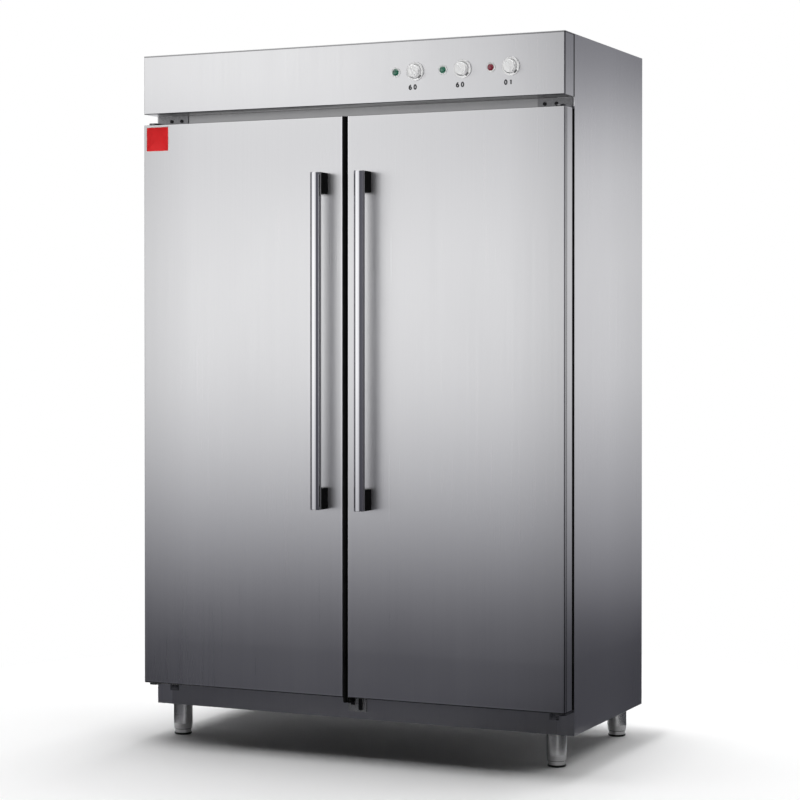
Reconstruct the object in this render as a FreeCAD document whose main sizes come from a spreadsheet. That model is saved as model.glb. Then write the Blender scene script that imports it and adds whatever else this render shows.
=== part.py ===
import FreeCAD, Part
import os
import re
import Sketcher

# Two-door hot-air dish sterilizer cabinet, in millimetres.
# +X is to the right of someone who faces the doors, +Y runs from the doors to the back, +Z is up.
# The origin is on the floor, under the middle of the cabinet's overall box.

SIZES = {
    # overall
    "width": 1200, "height": 1830, "body_depth": 530, "foot_height": 85,
    "skin": 1.2, "liner": 1.0, "wall": 45, "rear_wall": 50, "partition": 64, "bend": 2.5,
    # doors
    "door_stand": 70, "door_thick": 52, "door_bottom": 150, "door_top": 1645, "door_gap": 14,
    "joint_back": 16, "joint_wide": 4, "joint_deep": 0.7,
    "run_gap": 0.3, "gasket_inset": 19, "gasket_wide": 16, "gasket_free_inset": 7,
    "gasket_end_inset": 12, "seal_wide": 5.7, "seal_inset": 2, "seal_drop": 15,
    # hinges
    "pivot_in": 18, "pivot_back": 25, "pin_radius": 5, "pin_fit": 0.05, "pin_reach": 22,
    "pin_pocket": 6.5, "arm_thick": 4, "arm_half": 14, "arm_lift": 2, "plate_thick": 3,
    "upper_plate_wide": 93, "upper_plate_high": 26, "lower_plate_wide": 25,
    "lower_plate_high": 25, "plate_edge": 4, "lower_plate_edge": 40, "arm_web": 20,
    "washer_radius": 9, "washer_high": 2.6,
    "screw_radius": 2.5, "screw_head": 4.5, "screw_head_high": 2.5, "screw_fit": 0.1,
    "screw_outer": 47, "screw_inner": 78, "lower_screw_outer": 46.5,
    "lower_screw_inner": 58.5, "screw_rise": 12,
    # handles
    "bar_radius": 14, "bar_middle": 44, "bar_in": 62, "bar_low": 635, "bar_high": 1500,
    "bar_chamfer": 1, "post_wide": 25, "post_high": 54, "post_saddle": 0.05,
    # chambers
    "chamber_floor": 185, "chamber_top": 1610, "rail_return": 28, "ceiling_wool": 50,
    "top_rail_high": 80, "shelf_first": 503, "shelf_pitch": 262, "ledge_wide": 14,
    "ledge_thick": 4, "shelf_wide": 515, "shelf_deep": 440, "shelf_middle": 30,
    "shelf_rod": 4, "shelf_wire": 2, "wire_pitch": 28, "weld_sink": 1,
    # drip trays and heaters
    "tray_half": 250, "tray_deep": 430, "tray_floor": 226, "tray_rim": 242,
    "heater_z": 204, "heater_bend": 90, "heater_radius": 4, "heater_front": 90,
    "heater_tail": 18, "tail_fit": 0.2, "terminal_radius": 7, "terminal_long": 8,
    # fans
    "guard_half": 120, "guard_high": 60, "slot_long": 190, "slot_wide": 8, "slot_pitch": 18,
    "fan_radius": 90, "fan_drop": 45, "fan_disc": 2, "hub_radius": 20, "blade_high": 24,
    "blade_start": 24, "blade_thick": 2, "shaft_radius": 4, "shaft_long": 148,
    "motor_radius": 45, "motor_high": 72, "motor_foot": 65, "motor_foot_thick": 2,
    "shaft_hole": 12, "wool_hole": 15,
    # header and its controls
    "header_bottom": 1674, "control_z": 1749, "control_pitch": 130, "knob_first": 197.5,
    "lamp_first": 144, "knob_skirt": 23.5, "knob_skirt_high": 2, "knob_cap": 15.5,
    "knob_flare": 1, "knob_edge": 1.5, "knob_lift": 0.5, "knob_high": 18,
    "grip_high": 4, "grip_wide": 7, "grip_half": 13, "spindle": 3, "spindle_long": 26,
    "bush": 5, "bush_fit": 0.2, "timer_half": 25, "timer_deep": 44, "switch_half": 18,
    "lamp_body": 7, "lamp_flange": 9.5, "lamp_rim": 1.4, "lamp_bevel": 0.6, "lamp_lens": 7.4,
    "lamp_dome": 2.2, "lamp_high": 6.5, "lamp_tail": 30,
    "box_half": 80, "box_deep": 120, "box_high": 70,
    # back panel
    "gland_out": 8, "gland_across": 420, "gland_z": 1750, "gland_bore": 6.5,
    "gland_barrel": 10, "gland_flange": 17, "nut_radius": 15, "nut_thick": 6,
    "vent_long": 90, "vent_high": 8, "vent_pitch": 16, "vent_z": 1710, "vent_across": 230,
    # bottom catch
    "catch_left": -23, "catch_right": 28, "catch_bottom": 104, "catch_high": 40,
    "finger_wide": 9, "finger_out": 9, "finger_margin": 10, "striker_low": 109,
    "buffer_low": 122, "buffer_high": 10,
    # feet
    "foot_in": 59, "foot_set": 34, "sleeve_radius": 25.5, "sleeve_low_radius": 24,
    "sleeve_taper": 15, "bore_radius": 19, "bore_top": 76, "stem_radius": 18.7,
    "stem_top": 55, "insert_radius": 22, "insert_high": 15, "ring_radius": 23.5,
    "ring_high": 5, "ring_chamfer": 1.5, "groove": 0.6,
}

# Planes that many pieces share, worked out from the driving sizes.
SIDE = "width/2"
BACK = "(bar_middle + bar_radius + door_stand + body_depth - gland_out)/2"
FRONT = f"({BACK} - body_depth)"
DOOR = f"({FRONT} - door_stand)"
DOOR_INSIDE = f"({DOOR} + door_thick)"
LINER_SIDE = "(width/2 - wall)"
LINER_BACK = f"({BACK} - rear_wall)"
CHAMBER_MIDDLE = f"((partition/2 + {LINER_SIDE})/2)"
CHAMBER_DEPTH_MIDDLE = f"(({FRONT} + {LINER_BACK})/2)"
DECK = "(chamber_top + ceiling_wool)"
PIVOT_X = "(width/2 - pivot_in)"
PIVOT_Y = f"({DOOR} + pivot_back)"
ROOF = "(height - skin)"
FAN_Z = "(chamber_top - fan_drop)"

SIDES = ("left", "right")
LEVELS = 4
WIRES = 18
KNOBS = ("left_chamber", "right_chamber", "power")
BLADES = 8
GUARD_SLOTS = 11
VENTS = 6
TOLERANCE = 1e-6
TOWARDS_DOORS = FreeCAD.Rotation(FreeCAD.Vector(1, 0, 0), 90)
TOWARDS_BACK = FreeCAD.Rotation(FreeCAD.Vector(1, 0, 0), -90)
UPRIGHT = FreeCAD.Rotation()

doc = FreeCAD.newDocument("DishSterilizerCabinet")
sheet = doc.addObject("Spreadsheet::Sheet", "Sizes")
for row, (alias, value) in enumerate(SIZES.items(), start=1):
    sheet.set(f"A{row}", alias)
    sheet.set(f"B{row}", str(value))
    sheet.setAlias(f"B{row}", alias)
doc.recompute()

ALIASES = re.compile(r"\b(" + "|".join(SIZES) + r")\b")
nodes = []


def formula(text):
    """The text with every size name pointed at its cell in the sheet."""
    return ALIASES.sub(r"Sizes.\1", str(text))


def node(thing):
    """Keep a finished piece: its label becomes the name of its file."""
    nodes.append(thing)
    return thing


def flip(side, near, far):
    """The span from near to far on the right, or its mirror image on the left."""
    if side == "right":
        return near, far
    return f"-({far})", f"-({near})"


def sign(side):
    return "1" if side == "right" else "-1"


# ---- solids made from primitives -------------------------------------------------------

def box(name, across, along, up):
    """A block between two planes on each axis, each plane given as a formula."""
    block = doc.addObject("Part::Box", name)
    spans = (across, along, up)
    for size, letter, (low, high) in zip(("Length", "Width", "Height"), "xyz", spans):
        block.setExpression(size, formula(f"({high}) - ({low})"))
        block.setExpression(f"Placement.Base.{letter}", formula(low))
    return block


def rod(name, radius, start, length, turn=UPRIGHT):
    """A cylinder from its start point, turned from upright, then length long."""
    cylinder = doc.addObject("Part::Cylinder", name)
    cylinder.Placement = FreeCAD.Placement(FreeCAD.Vector(), turn)
    cylinder.setExpression("Radius", formula(radius))
    cylinder.setExpression("Height", formula(length))
    for letter, text in zip("xyz", start):
        cylinder.setExpression(f"Placement.Base.{letter}", formula(text))
    return cylinder


def joined(name, pieces):
    """One solid out of pieces that touch or overlap."""
    fusion = doc.addObject("Part::MultiFuse", name)
    fusion.Shapes = pieces
    return fusion


def cut(name, blank, tools):
    """The blank less every tool."""
    tool = tools[0] if len(tools) == 1 else joined(f"{name}_tools", tools)
    difference = doc.addObject("Part::Cut", name)
    difference.Base = blank
    difference.Tool = tool
    return difference


def group(name, members):
    """Separate solids that share one node."""
    compound = doc.addObject("Part::Compound", name)
    compound.Links = members
    return compound


# ---- bodies made from sketches ---------------------------------------------------------

def body_at(name, base=("0", "0", "0"), turn=UPRIGHT):
    """An empty body with its own frame set down at the base point."""
    body = doc.addObject("PartDesign::Body", name)
    body.Placement = FreeCAD.Placement(FreeCAD.Vector(), turn)
    for letter, text in zip("xyz", base):
        body.setExpression(f"Placement.Base.{letter}", formula(text))
    return body


def sketch_on(body, plane):
    """A sketch on one of the body's own origin planes."""
    sketch = body.newObject("Sketcher::SketchObject", f"{body.Name}_sketch")
    support = next(f for f in body.Origin.OriginFeatures if f.Role == plane)
    sketch.AttachmentSupport = [(support, "")]
    sketch.MapMode = "FlatFace"
    return sketch


def pin_point(sketch, curve, point, place, guess):
    """Hold one point of a curve at a place given as two formulas."""
    for kind, text, value in zip(("DistanceX", "DistanceY"), place, guess):
        index = sketch.addConstraint(Sketcher.Constraint(kind, -1, 1, curve, point, value))
        sketch.setExpression(f"Constraints[{index}]", formula(text))


def polygon(sketch, points):
    """A closed loop of straight lines through points given as pairs of formulas."""
    start = sketch.GeometryCount
    spread = FreeCAD.Vector(100, 0, 0)
    turn = FreeCAD.Rotation(FreeCAD.Vector(0, 0, 1), 360 / len(points))
    guesses = [spread]
    for _ in points[1:]:
        guesses.append(turn.multVec(guesses[-1]))
    for first, second in zip(guesses, guesses[1:] + guesses[:1]):
        sketch.addGeometry(Part.LineSegment(first, second), False)
    for index, (place, guess) in enumerate(zip(points, guesses)):
        line = start + index
        following = start + (index + 1) % len(points)
        sketch.addConstraint(Sketcher.Constraint("Coincident", line, 2, following, 1))
        pin_point(sketch, line, 1, place, (guess.x, guess.y))


def rectangle(sketch, across, up):
    """A rectangle between two pairs of formulas."""
    (left, right), (low, high) = across, up
    polygon(sketch, [(left, low), (right, low), (right, high), (left, high)])


def circle(sketch, radius, centre):
    """A circle about a centre given as two formulas."""
    guess = FreeCAD.Vector(20 + 30 * sketch.GeometryCount, 20, 0)
    index = sketch.addGeometry(Part.Circle(guess, FreeCAD.Vector(0, 0, 1), 10), False)
    pin_point(sketch, index, 3, centre, (guess.x, guess.y))
    bound = sketch.addConstraint(Sketcher.Constraint("Radius", index, 10))
    sketch.setExpression(f"Constraints[{bound}]", formula(radius))


def pad(body, sketch, length, backwards=False):
    """Push a sketch out of its plane."""
    feature = body.newObject("PartDesign::Pad", f"{body.Name}_pad")
    feature.Profile = sketch
    feature.Reversed = backwards
    feature.setExpression("Length", formula(length))
    return feature


def pocket(body, sketch, depth, backwards=False):
    """Cut a sketch into the body, and make sure that it took something away."""
    doc.recompute()
    before = body.Tip.Shape.Volume
    feature = body.newObject("PartDesign::Pocket", f"{body.Name}_pocket")
    feature.Profile = sketch
    feature.Reversed = backwards
    feature.setExpression("Length", formula(depth))
    doc.recompute()
    if feature.Shape.Volume > before - TOLERANCE:
        raise RuntimeError(f"{feature.Name} cuts nothing")
    return feature


def turned(body, points):
    """A solid of revolution about the body's own Z axis: points are radius and height."""
    sketch = sketch_on(body, "XZ_Plane")
    polygon(sketch, points)
    feature = body.newObject("PartDesign::Revolution", f"{body.Name}_turned")
    feature.Profile = sketch
    feature.ReferenceAxis = (sketch, ["V_Axis"])
    feature.Angle = 360
    return feature


def round_edges(body, radius, wanted):
    """Fillet the edges of the body's last feature that the test wants."""
    doc.recompute()
    base = body.Tip
    names = [f"Edge{i}" for i, edge in enumerate(base.Shape.Edges, start=1) if wanted(edge)]
    feature = body.newObject("PartDesign::Fillet", f"{body.Name}_fillet")
    feature.Base = (base, names)
    feature.setExpression("Radius", formula(radius))
    return feature


def folded(name, plane, points, length, base, backwards=False):
    """A folded sheet: its section is a loop of points, pushed along its bend lines."""
    body = body_at(name, base)
    sketch = sketch_on(body, plane)
    polygon(sketch, points)
    pad(body, sketch, length, backwards)
    return body


# ---- the outer casing ------------------------------------------------------------------

def side_panel(side):
    """Side sheet with its front edge folded inwards as the post beside the door."""
    turn = sign(side)
    section = [
        (f"{turn}*{SIDE}", FRONT),
        (f"{turn}*{SIDE}", BACK),
        (f"{turn}*({SIDE} - skin)", BACK),
        (f"{turn}*({SIDE} - skin)", f"{FRONT} + skin"),
        (f"{turn}*{LINER_SIDE}", f"{FRONT} + skin"),
        (f"{turn}*{LINER_SIDE}", FRONT),
    ]
    base = ("0", "0", "foot_height")
    node(folded(f"side_panel_{side}", "XY_Plane", section, f"{ROOF} - foot_height", base))


def back_panel():
    """Rear sheet with two banks of vent slots and the hole for the cable gland."""
    body = body_at("back_panel", ("0", BACK, "0"))
    sheet_sketch = sketch_on(body, "XZ_Plane")
    inner = f"{SIDE} - skin"
    rectangle(sheet_sketch, (f"-({inner})", inner), ("foot_height", ROOF))
    pad(body, sheet_sketch, "skin")
    hole = sketch_on(body, "XZ_Plane")
    circle(hole, "gland_barrel", ("gland_across", "gland_z"))
    pocket(body, hole, "skin", backwards=True)
    for bank in ("-1", "0"):
        slot = sketch_on(body, "XZ_Plane")
        middle = f"({bank}*vent_across)"
        rectangle(slot, (f"{middle} - vent_long/2", f"{middle} + vent_long/2"),
                  ("vent_z", "vent_z + vent_high"))
        opening = pocket(body, slot, "skin", backwards=True)
        bank_of_slots = body.newObject("PartDesign::LinearPattern", "back_panel_vents")
        bank_of_slots.Originals = [opening]
        bank_of_slots.Direction = (slot, ["V_Axis"])
        bank_of_slots.Occurrences = VENTS
        bank_of_slots.setExpression("Length", formula(f"vent_pitch*{VENTS - 1}"))
        body.Tip = bank_of_slots
    node(body)


def rails():
    """The folded cross rails below and above the door opening."""
    across = f"-{LINER_SIDE}"
    low = [
        (FRONT, "foot_height"),
        (FRONT, "chamber_floor"),
        (f"{FRONT} + rail_return", "chamber_floor"),
        (f"{FRONT} + rail_return", "chamber_floor - skin"),
        (f"{FRONT} + skin", "chamber_floor - skin"),
        (f"{FRONT} + skin", "foot_height"),
    ]
    high = [
        (FRONT, "chamber_top + top_rail_high"),
        (FRONT, "chamber_top"),
        (f"{FRONT} + rail_return", "chamber_top"),
        (f"{FRONT} + rail_return", "chamber_top + skin"),
        (f"{FRONT} + skin", "chamber_top + skin"),
        (f"{FRONT} + skin", "chamber_top + top_rail_high"),
    ]
    for name, section in (("bottom_rail", low), ("top_rail", high)):
        node(folded(name, "YZ_Plane", section, f"2*{LINER_SIDE}", (across, "0", "0")))


def header_panel():
    """The control fascia: a folded box, open at the back and on top, with six holes."""
    body = body_at("header_panel", ("0", FRONT, "0"))
    face = sketch_on(body, "XZ_Plane")
    rectangle(face, (f"-{SIDE}", SIDE), ("header_bottom", ROOF))
    pad(body, face, "door_stand")
    stand = SIZES["door_stand"]
    roof = SIZES["height"] - SIZES["skin"]
    round_edges(body, "bend", lambda edge: on_plane(edge, "Y", -stand)
                and not on_plane(edge, "Z", roof))
    hollow = sketch_on(body, "XZ_Plane")
    inner = f"{SIDE} - skin"
    rectangle(hollow, (f"-({inner})", inner), ("header_bottom + skin", f"{ROOF} + skin"))
    pocket(body, hollow, "door_stand - skin", backwards=True)
    holes = sketch_on(body, "XZ_Plane")
    for index in range(len(KNOBS)):
        step = f"{index}*control_pitch"
        circle(holes, "bush + bush_fit", (f"knob_first + {step}", "control_z"))
        circle(holes, "lamp_body + bush_fit", (f"lamp_first + {step}", "control_z"))
    pocket(body, holes, "door_stand + skin", backwards=True)
    node(body)


def on_plane(edge, axis, value):
    """Whether every corner of an edge lies on one plane."""
    return all(abs(getattr(corner, axis) - value) < TOLERANCE for corner in edge.Vertexes)


def casing():
    for side in SIDES:
        side_panel(side)
    back_panel()
    node(box("top_panel", (f"-{SIDE}", SIDE), (DOOR, BACK), (ROOF, "height")))
    inner = f"{SIDE} - skin"
    node(box("base_panel", (f"-({inner})", inner), (f"{FRONT} + skin", f"{BACK} - skin"),
             ("foot_height", "foot_height + skin")))
    rails()
    header_panel()


# ---- the inner liner and the insulation ------------------------------------------------

def tail_places():
    """The four places where a heating tube leaves through the back of a chamber."""
    for side in SIDES:
        for edge in ("-1", "1"):
            yield f"{sign(side)}*{CHAMBER_MIDDLE} + {edge}*heater_bend"


def fan_places():
    for side in SIDES:
        yield f"{sign(side)}*{CHAMBER_MIDDLE}"


def liner():
    """Flat inner sheets and the folded centre wall that make the two chambers."""
    depth = (f"{FRONT} + skin", f"{LINER_BACK} + liner")
    for side in SIDES:
        across = flip(side, LINER_SIDE, f"{LINER_SIDE} + liner")
        node(box(f"liner_side_{side}", across, depth, ("chamber_floor", "chamber_top")))
    back = box("liner_back_blank", (f"-{LINER_SIDE}", LINER_SIDE),
               (LINER_BACK, f"{LINER_BACK} + liner"), ("chamber_floor", "chamber_top"))
    tails = [rod(f"liner_tail_hole_{i}", "heater_radius + tail_fit",
                 (place, f"{LINER_BACK} - liner", "heater_z"), "3*liner", TOWARDS_BACK)
             for i, place in enumerate(tail_places())]
    node(cut("liner_back", back, tails))
    edge = f"{LINER_SIDE} + liner"
    shelf = (f"{FRONT} + rail_return", f"{LINER_BACK} + liner")
    node(box("liner_floor", (f"-({edge})", edge), shelf,
             ("chamber_floor - liner", "chamber_floor")))
    ceiling = box("liner_ceiling_blank", (f"-({edge})", edge), shelf,
                  ("chamber_top", "chamber_top + liner"))
    shafts = [rod(f"liner_shaft_hole_{i}", "shaft_hole",
                  (place, CHAMBER_DEPTH_MIDDLE, "chamber_top - liner"), "3*liner")
              for i, place in enumerate(fan_places())]
    node(cut("liner_ceiling", ceiling, shafts))
    half = "partition/2"
    section = [
        (f"-{half}", FRONT), (half, FRONT), (half, LINER_BACK), (f"{half} - liner", LINER_BACK),
        (f"{half} - liner", f"{FRONT} + liner"), (f"-({half} - liner)", f"{FRONT} + liner"),
        (f"-({half} - liner)", LINER_BACK), (f"-{half}", LINER_BACK),
    ]
    node(folded("centre_partition", "XY_Plane", section, "chamber_top - chamber_floor",
                ("0", "0", "chamber_floor")))


def insulation():
    """Rock wool slabs between the casing and the liner, and inside the centre wall."""
    inner = f"{SIDE} - skin"
    edge = f"{LINER_SIDE} + liner"
    whole = (f"{FRONT} + skin", f"{BACK} - skin")
    low = "chamber_floor - skin"
    high = "chamber_top + skin"
    slabs = [
        box("wool_floor", (f"-({inner})", inner), whole, ("foot_height + skin", low)),
        box("wool_left", (f"-({inner})", f"-({edge})"), whole, (low, high)),
        box("wool_right", (edge, inner), whole, (low, high)),
        box("wool_partition", ("-(partition/2 - liner)", "partition/2 - liner"),
            (f"{FRONT} + skin", LINER_BACK), ("chamber_floor", "chamber_top")),
    ]
    back = box("wool_back_blank", (f"-({edge})", edge),
               (f"{LINER_BACK} + liner", f"{BACK} - skin"), (low, high))
    tails = [rod(f"wool_tail_hole_{i}", "terminal_radius + tail_fit",
                 (place, LINER_BACK, "heater_z"), "heater_tail + 2*terminal_long",
                 TOWARDS_BACK)
             for i, place in enumerate(tail_places())]
    slabs.append(cut("wool_back", back, tails))
    ceiling = box("wool_ceiling_blank", (f"-({inner})", inner), whole, (high, DECK))
    shafts = [rod(f"wool_shaft_hole_{i}", "wool_hole",
                  (place, CHAMBER_DEPTH_MIDDLE, "chamber_top"), "2*ceiling_wool")
              for i, place in enumerate(fan_places())]
    slabs.append(cut("wool_ceiling", ceiling, shafts))
    node(group("cabinet_insulation", slabs))


# ---- what the chambers hold ------------------------------------------------------------

def wire_shelf(name, side, level):
    """Welded wire shelf: a row of wires on three cross rods, between two side rods."""
    height = f"shelf_first + {level}*shelf_pitch + ledge_thick/2 + shelf_rod"
    body = body_at(name, (f"{sign(side)}*{CHAMBER_MIDDLE}", "shelf_middle", height))
    ends = sketch_on(body, "XZ_Plane")
    for wire in range(WIRES):
        place = f"({wire} - {(WIRES - 1) / 2})*wire_pitch"
        circle(ends, "shelf_wire", (place, "shelf_rod + shelf_wire - weld_sink"))
    along = pad(body, ends, "shelf_deep")
    along.Midplane = True
    rods = sketch_on(body, "YZ_Plane")
    for step in ("-1", "0", "1"):
        circle(rods, "shelf_rod", (f"{step}*(shelf_deep/2 - shelf_rod)", "0"))
    across = pad(body, rods, "shelf_wide")
    across.Midplane = True
    return body


def shelves():
    """Four wire shelves in each chamber, and the ledges that they slide in on."""
    ledges = []
    for side in SIDES:
        stack = [wire_shelf(f"{side}_wire_shelf_{n}", side, n) for n in range(LEVELS)]
        node(group(f"{side}_wire_shelves", stack))
        walls = (flip(side, f"{LINER_SIDE} - ledge_wide", LINER_SIDE),
                 flip(side, "partition/2", "partition/2 + ledge_wide"))
        for level in range(LEVELS):
            middle = f"shelf_first + {level}*shelf_pitch"
            for number, wall in enumerate(walls):
                ledges.append(box(
                    f"{side}_ledge_{level}_{number}", wall,
                    ("shelf_middle - shelf_deep/2", "shelf_middle + shelf_deep/2"),
                    (f"{middle} - ledge_thick/2", f"{middle} + ledge_thick/2")))
    node(group("shelf_ledges", ledges))


def drip_tray(side):
    """A tray whose sides are folded down as legs, so that it stands over the heater."""
    outer = "tray_half"
    inner = "tray_half - skin"
    section = [
        (f"-({outer})", "chamber_floor"), (f"-({inner})", "chamber_floor"),
        (f"-({inner})", "tray_floor"), (inner, "tray_floor"), (inner, "chamber_floor"),
        (outer, "chamber_floor"), (outer, "tray_rim"), (inner, "tray_rim"),
        (inner, "tray_floor + skin"), (f"-({inner})", "tray_floor + skin"),
        (f"-({inner})", "tray_rim"), (f"-({outer})", "tray_rim"),
    ]
    name = f"{side}_drip_tray"
    base = (f"{sign(side)}*{CHAMBER_MIDDLE}", "shelf_middle + tray_deep/2", "0")
    body = folded(name, "XZ_Plane", section, "tray_deep", base)
    for far in (False, True):
        lip = sketch_on(body, "XZ_Plane")
        rectangle(lip, (f"-({inner})", inner), ("tray_floor", "tray_rim"))
        if far:
            lip.setExpression("AttachmentOffset.Base.z", formula("tray_deep - skin"))
        pad(body, lip, "skin")
    return body


def heaters():
    """Tubular heaters: two straight legs joined by a half turn, with terminals behind."""
    tubes = []
    bend_y = f"{FRONT} + heater_front + heater_bend"
    leg = f"{LINER_BACK} + heater_tail - ({bend_y})"
    for side in SIDES:
        middle = f"{sign(side)}*{CHAMBER_MIDDLE}"
        parts = []
        for edge in ("-1", "1"):
            place = f"{middle} + {edge}*heater_bend"
            parts.append(rod(f"{side}_heater_leg", "heater_radius",
                             (place, bend_y, "heater_z"), leg, TOWARDS_BACK))
            parts.append(rod(f"{side}_heater_terminal", "terminal_radius",
                             (place, f"{LINER_BACK} + heater_tail", "heater_z"),
                             "terminal_long", TOWARDS_BACK))
        turn = doc.addObject("Part::Torus", f"{side}_heater_turn")
        turn.setExpression("Radius1", formula("heater_bend"))
        turn.setExpression("Radius2", formula("heater_radius"))
        turn.Angle3 = 180
        turn.Placement = FreeCAD.Placement(
            FreeCAD.Vector(), FreeCAD.Rotation(FreeCAD.Vector(0, 0, 1), 180))
        for letter, text in zip("xyz", (middle, bend_y, "heater_z")):
            turn.setExpression(f"Placement.Base.{letter}", formula(text))
        tubes.append(joined(f"{side}_heater_tube", parts + [turn]))
    node(group("heating_elements", tubes))


def fan_guard(side):
    """Slotted box that hangs under the ceiling round the impeller."""
    name = f"{side}_fan_guard"
    base = (f"{sign(side)}*{CHAMBER_MIDDLE}", CHAMBER_DEPTH_MIDDLE,
            "chamber_top - guard_high")
    body = body_at(name, base)
    outline = sketch_on(body, "XY_Plane")
    rectangle(outline, ("-guard_half", "guard_half"), ("-guard_half", "guard_half"))
    pad(body, outline, "guard_high")
    inside = sketch_on(body, "XY_Plane")
    inside.setExpression("AttachmentOffset.Base.z", formula("skin"))
    inner = "guard_half - skin"
    rectangle(inside, (f"-({inner})", inner), (f"-({inner})", inner))
    pocket(body, inside, "guard_high", backwards=True)
    slot = sketch_on(body, "XY_Plane")
    start = f"-slot_pitch*{(GUARD_SLOTS - 1) / 2}"
    rectangle(slot, ("-slot_long/2", "slot_long/2"),
              (f"{start} - slot_wide/2", f"{start} + slot_wide/2"))
    opening = pocket(body, slot, "skin", backwards=True)
    row_of_slots = body.newObject("PartDesign::LinearPattern", f"{name}_slots")
    row_of_slots.Originals = [opening]
    row_of_slots.Direction = (slot, ["V_Axis"])
    row_of_slots.Occurrences = GUARD_SLOTS
    row_of_slots.setExpression("Length", formula(f"slot_pitch*{GUARD_SLOTS - 1}"))
    body.Tip = row_of_slots
    return body


def fan_impeller(side):
    """Disc, hub, shaft and eight radial blades: it turns in the motor above it."""
    base = (f"{sign(side)}*{CHAMBER_MIDDLE}", CHAMBER_DEPTH_MIDDLE, FAN_Z)
    body = body_at(f"{side}_fan_impeller", base)
    turned(body, [
        ("0", "0"), ("fan_radius", "0"), ("fan_radius", "fan_disc"), ("hub_radius", "fan_disc"),
        ("hub_radius", "blade_high"), ("shaft_radius", "blade_high"),
        ("shaft_radius", "shaft_long"), ("0", "shaft_long"),
    ])
    root = sketch_on(body, "XY_Plane")
    rectangle(root, ("blade_start/2", "fan_radius - fan_disc"),
              ("-blade_thick/2", "blade_thick/2"))
    blade = pad(body, root, "blade_high - fan_disc")
    doc.recompute()
    blades = body.newObject("PartDesign::PolarPattern", f"{side}_fan_blades")
    blades.Originals = [blade]
    blades.Axis = (root, ["N_Axis"])
    blades.Angle = 360
    blades.Occurrences = BLADES
    body.Tip = blades
    node(body)


def fan_motor(side):
    """Motor can on a square foot, with the bore that its shaft turns in."""
    middle = f"{sign(side)}*{CHAMBER_MIDDLE}"
    foot = box(f"{side}_motor_foot",
               (f"{middle} - motor_foot", f"{middle} + motor_foot"),
               (f"{CHAMBER_DEPTH_MIDDLE} - motor_foot", f"{CHAMBER_DEPTH_MIDDLE} + motor_foot"),
               (DECK, f"{DECK} + motor_foot_thick"))
    can = rod(f"{side}_motor_can", "motor_radius",
              (middle, CHAMBER_DEPTH_MIDDLE, DECK), "motor_high")
    bore = rod(f"{side}_motor_bore", "shaft_radius + pin_fit",
               (middle, CHAMBER_DEPTH_MIDDLE, "chamber_top"), "shaft_long - fan_drop + skin")
    return cut(f"{side}_motor", joined(f"{side}_motor_blank", [foot, can]), [bore])


def fans():
    for side in SIDES:
        fan_impeller(side)
    node(group("fan_motors", [fan_motor(side) for side in SIDES]))
    node(group("fan_guards", [fan_guard(side) for side in SIDES]))


def chamber_fittings():
    shelves()
    node(group("drip_trays", [drip_tray(side) for side in SIDES]))
    heaters()
    fans()


# ---- hinges, catch and feet ------------------------------------------------------------

def hinge(side, level):
    """Screwed plate, arm with a rounded end, and the pin that the door turns on."""
    name = f"{level}_{side}_hinge"
    upper = level == "upper"
    wide = "upper_plate_wide" if upper else "lower_plate_wide"
    plate_far = f"{SIDE} - plate_edge" if upper else f"{SIDE} - lower_plate_edge"
    across = flip(side, f"{plate_far} - {wide}", plate_far)
    arm_low = "door_top + arm_lift" if upper else "door_bottom - washer_high - arm_thick - run_gap"
    arm_top = f"{arm_low} + arm_thick"
    plate_low = arm_low if upper else f"{arm_top} - lower_plate_high"
    plate_top = f"{arm_low} + upper_plate_high" if upper else arm_top
    pivot_x = f"{sign(side)}*{PIVOT_X}"
    pieces = [
        box(f"{name}_plate", across, (f"{FRONT} - plate_thick", FRONT), (plate_low, plate_top)),
        box(f"{name}_arm", (f"{pivot_x} - arm_half", f"{pivot_x} + arm_half"),
            (PIVOT_Y, f"{FRONT} - plate_thick/2"), (arm_low, arm_top)),
        rod(f"{name}_nose", "arm_half", (pivot_x, PIVOT_Y, arm_low), "arm_thick"),
    ]
    if upper:
        pin_start = "door_top - pin_reach"
        pin_long = "pin_reach + arm_lift + arm_thick/2"
    else:
        pin_start = f"{arm_low} + arm_thick/2"
        pin_long = "arm_thick/2 + washer_high + run_gap + pin_reach"
        pieces.append(rod(f"{name}_washer", "washer_radius", (pivot_x, PIVOT_Y, arm_top),
                          "washer_high"))
        web = flip(side, f"{plate_far} - {wide}", f"{PIVOT_X} + arm_half")
        pieces.append(box(f"{name}_web", web, (f"{FRONT} - arm_web", FRONT), (arm_low, arm_top)))
    pieces.append(rod(f"{name}_pin", "pin_radius", (pivot_x, PIVOT_Y, pin_start), pin_long))
    blank = joined(f"{name}_blank", pieces)
    tools = []
    screws = []
    insets = ("screw_outer", "screw_inner") if upper else ("lower_screw_outer",
                                                          "lower_screw_inner")
    for number, inset in enumerate(insets):
        place = f"{sign(side)}*({SIDE} - {inset})"
        centre = (place, FRONT, f"{plate_low} + screw_rise")
        tools.append(rod(f"{name}_hole_{number}", "screw_radius + screw_fit", centre,
                         "2*plate_thick", TOWARDS_DOORS))
        shank = rod(f"{name}_shank_{number}", "screw_radius", centre, "plate_thick",
                    TOWARDS_DOORS)
        head_start = (place, f"{FRONT} - plate_thick", f"{plate_low} + screw_rise")
        head = rod(f"{name}_head_{number}", "screw_head", head_start, "screw_head_high",
                   TOWARDS_DOORS)
        screws.append(joined(f"{name}_screw_{number}", [shank, head]))
    node(cut(name, blank, tools))
    return screws


def hinges():
    screws = []
    for side in SIDES:
        for level in ("upper", "lower"):
            screws += hinge(side, level)
    node(group("hinge_screws", screws))


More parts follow.
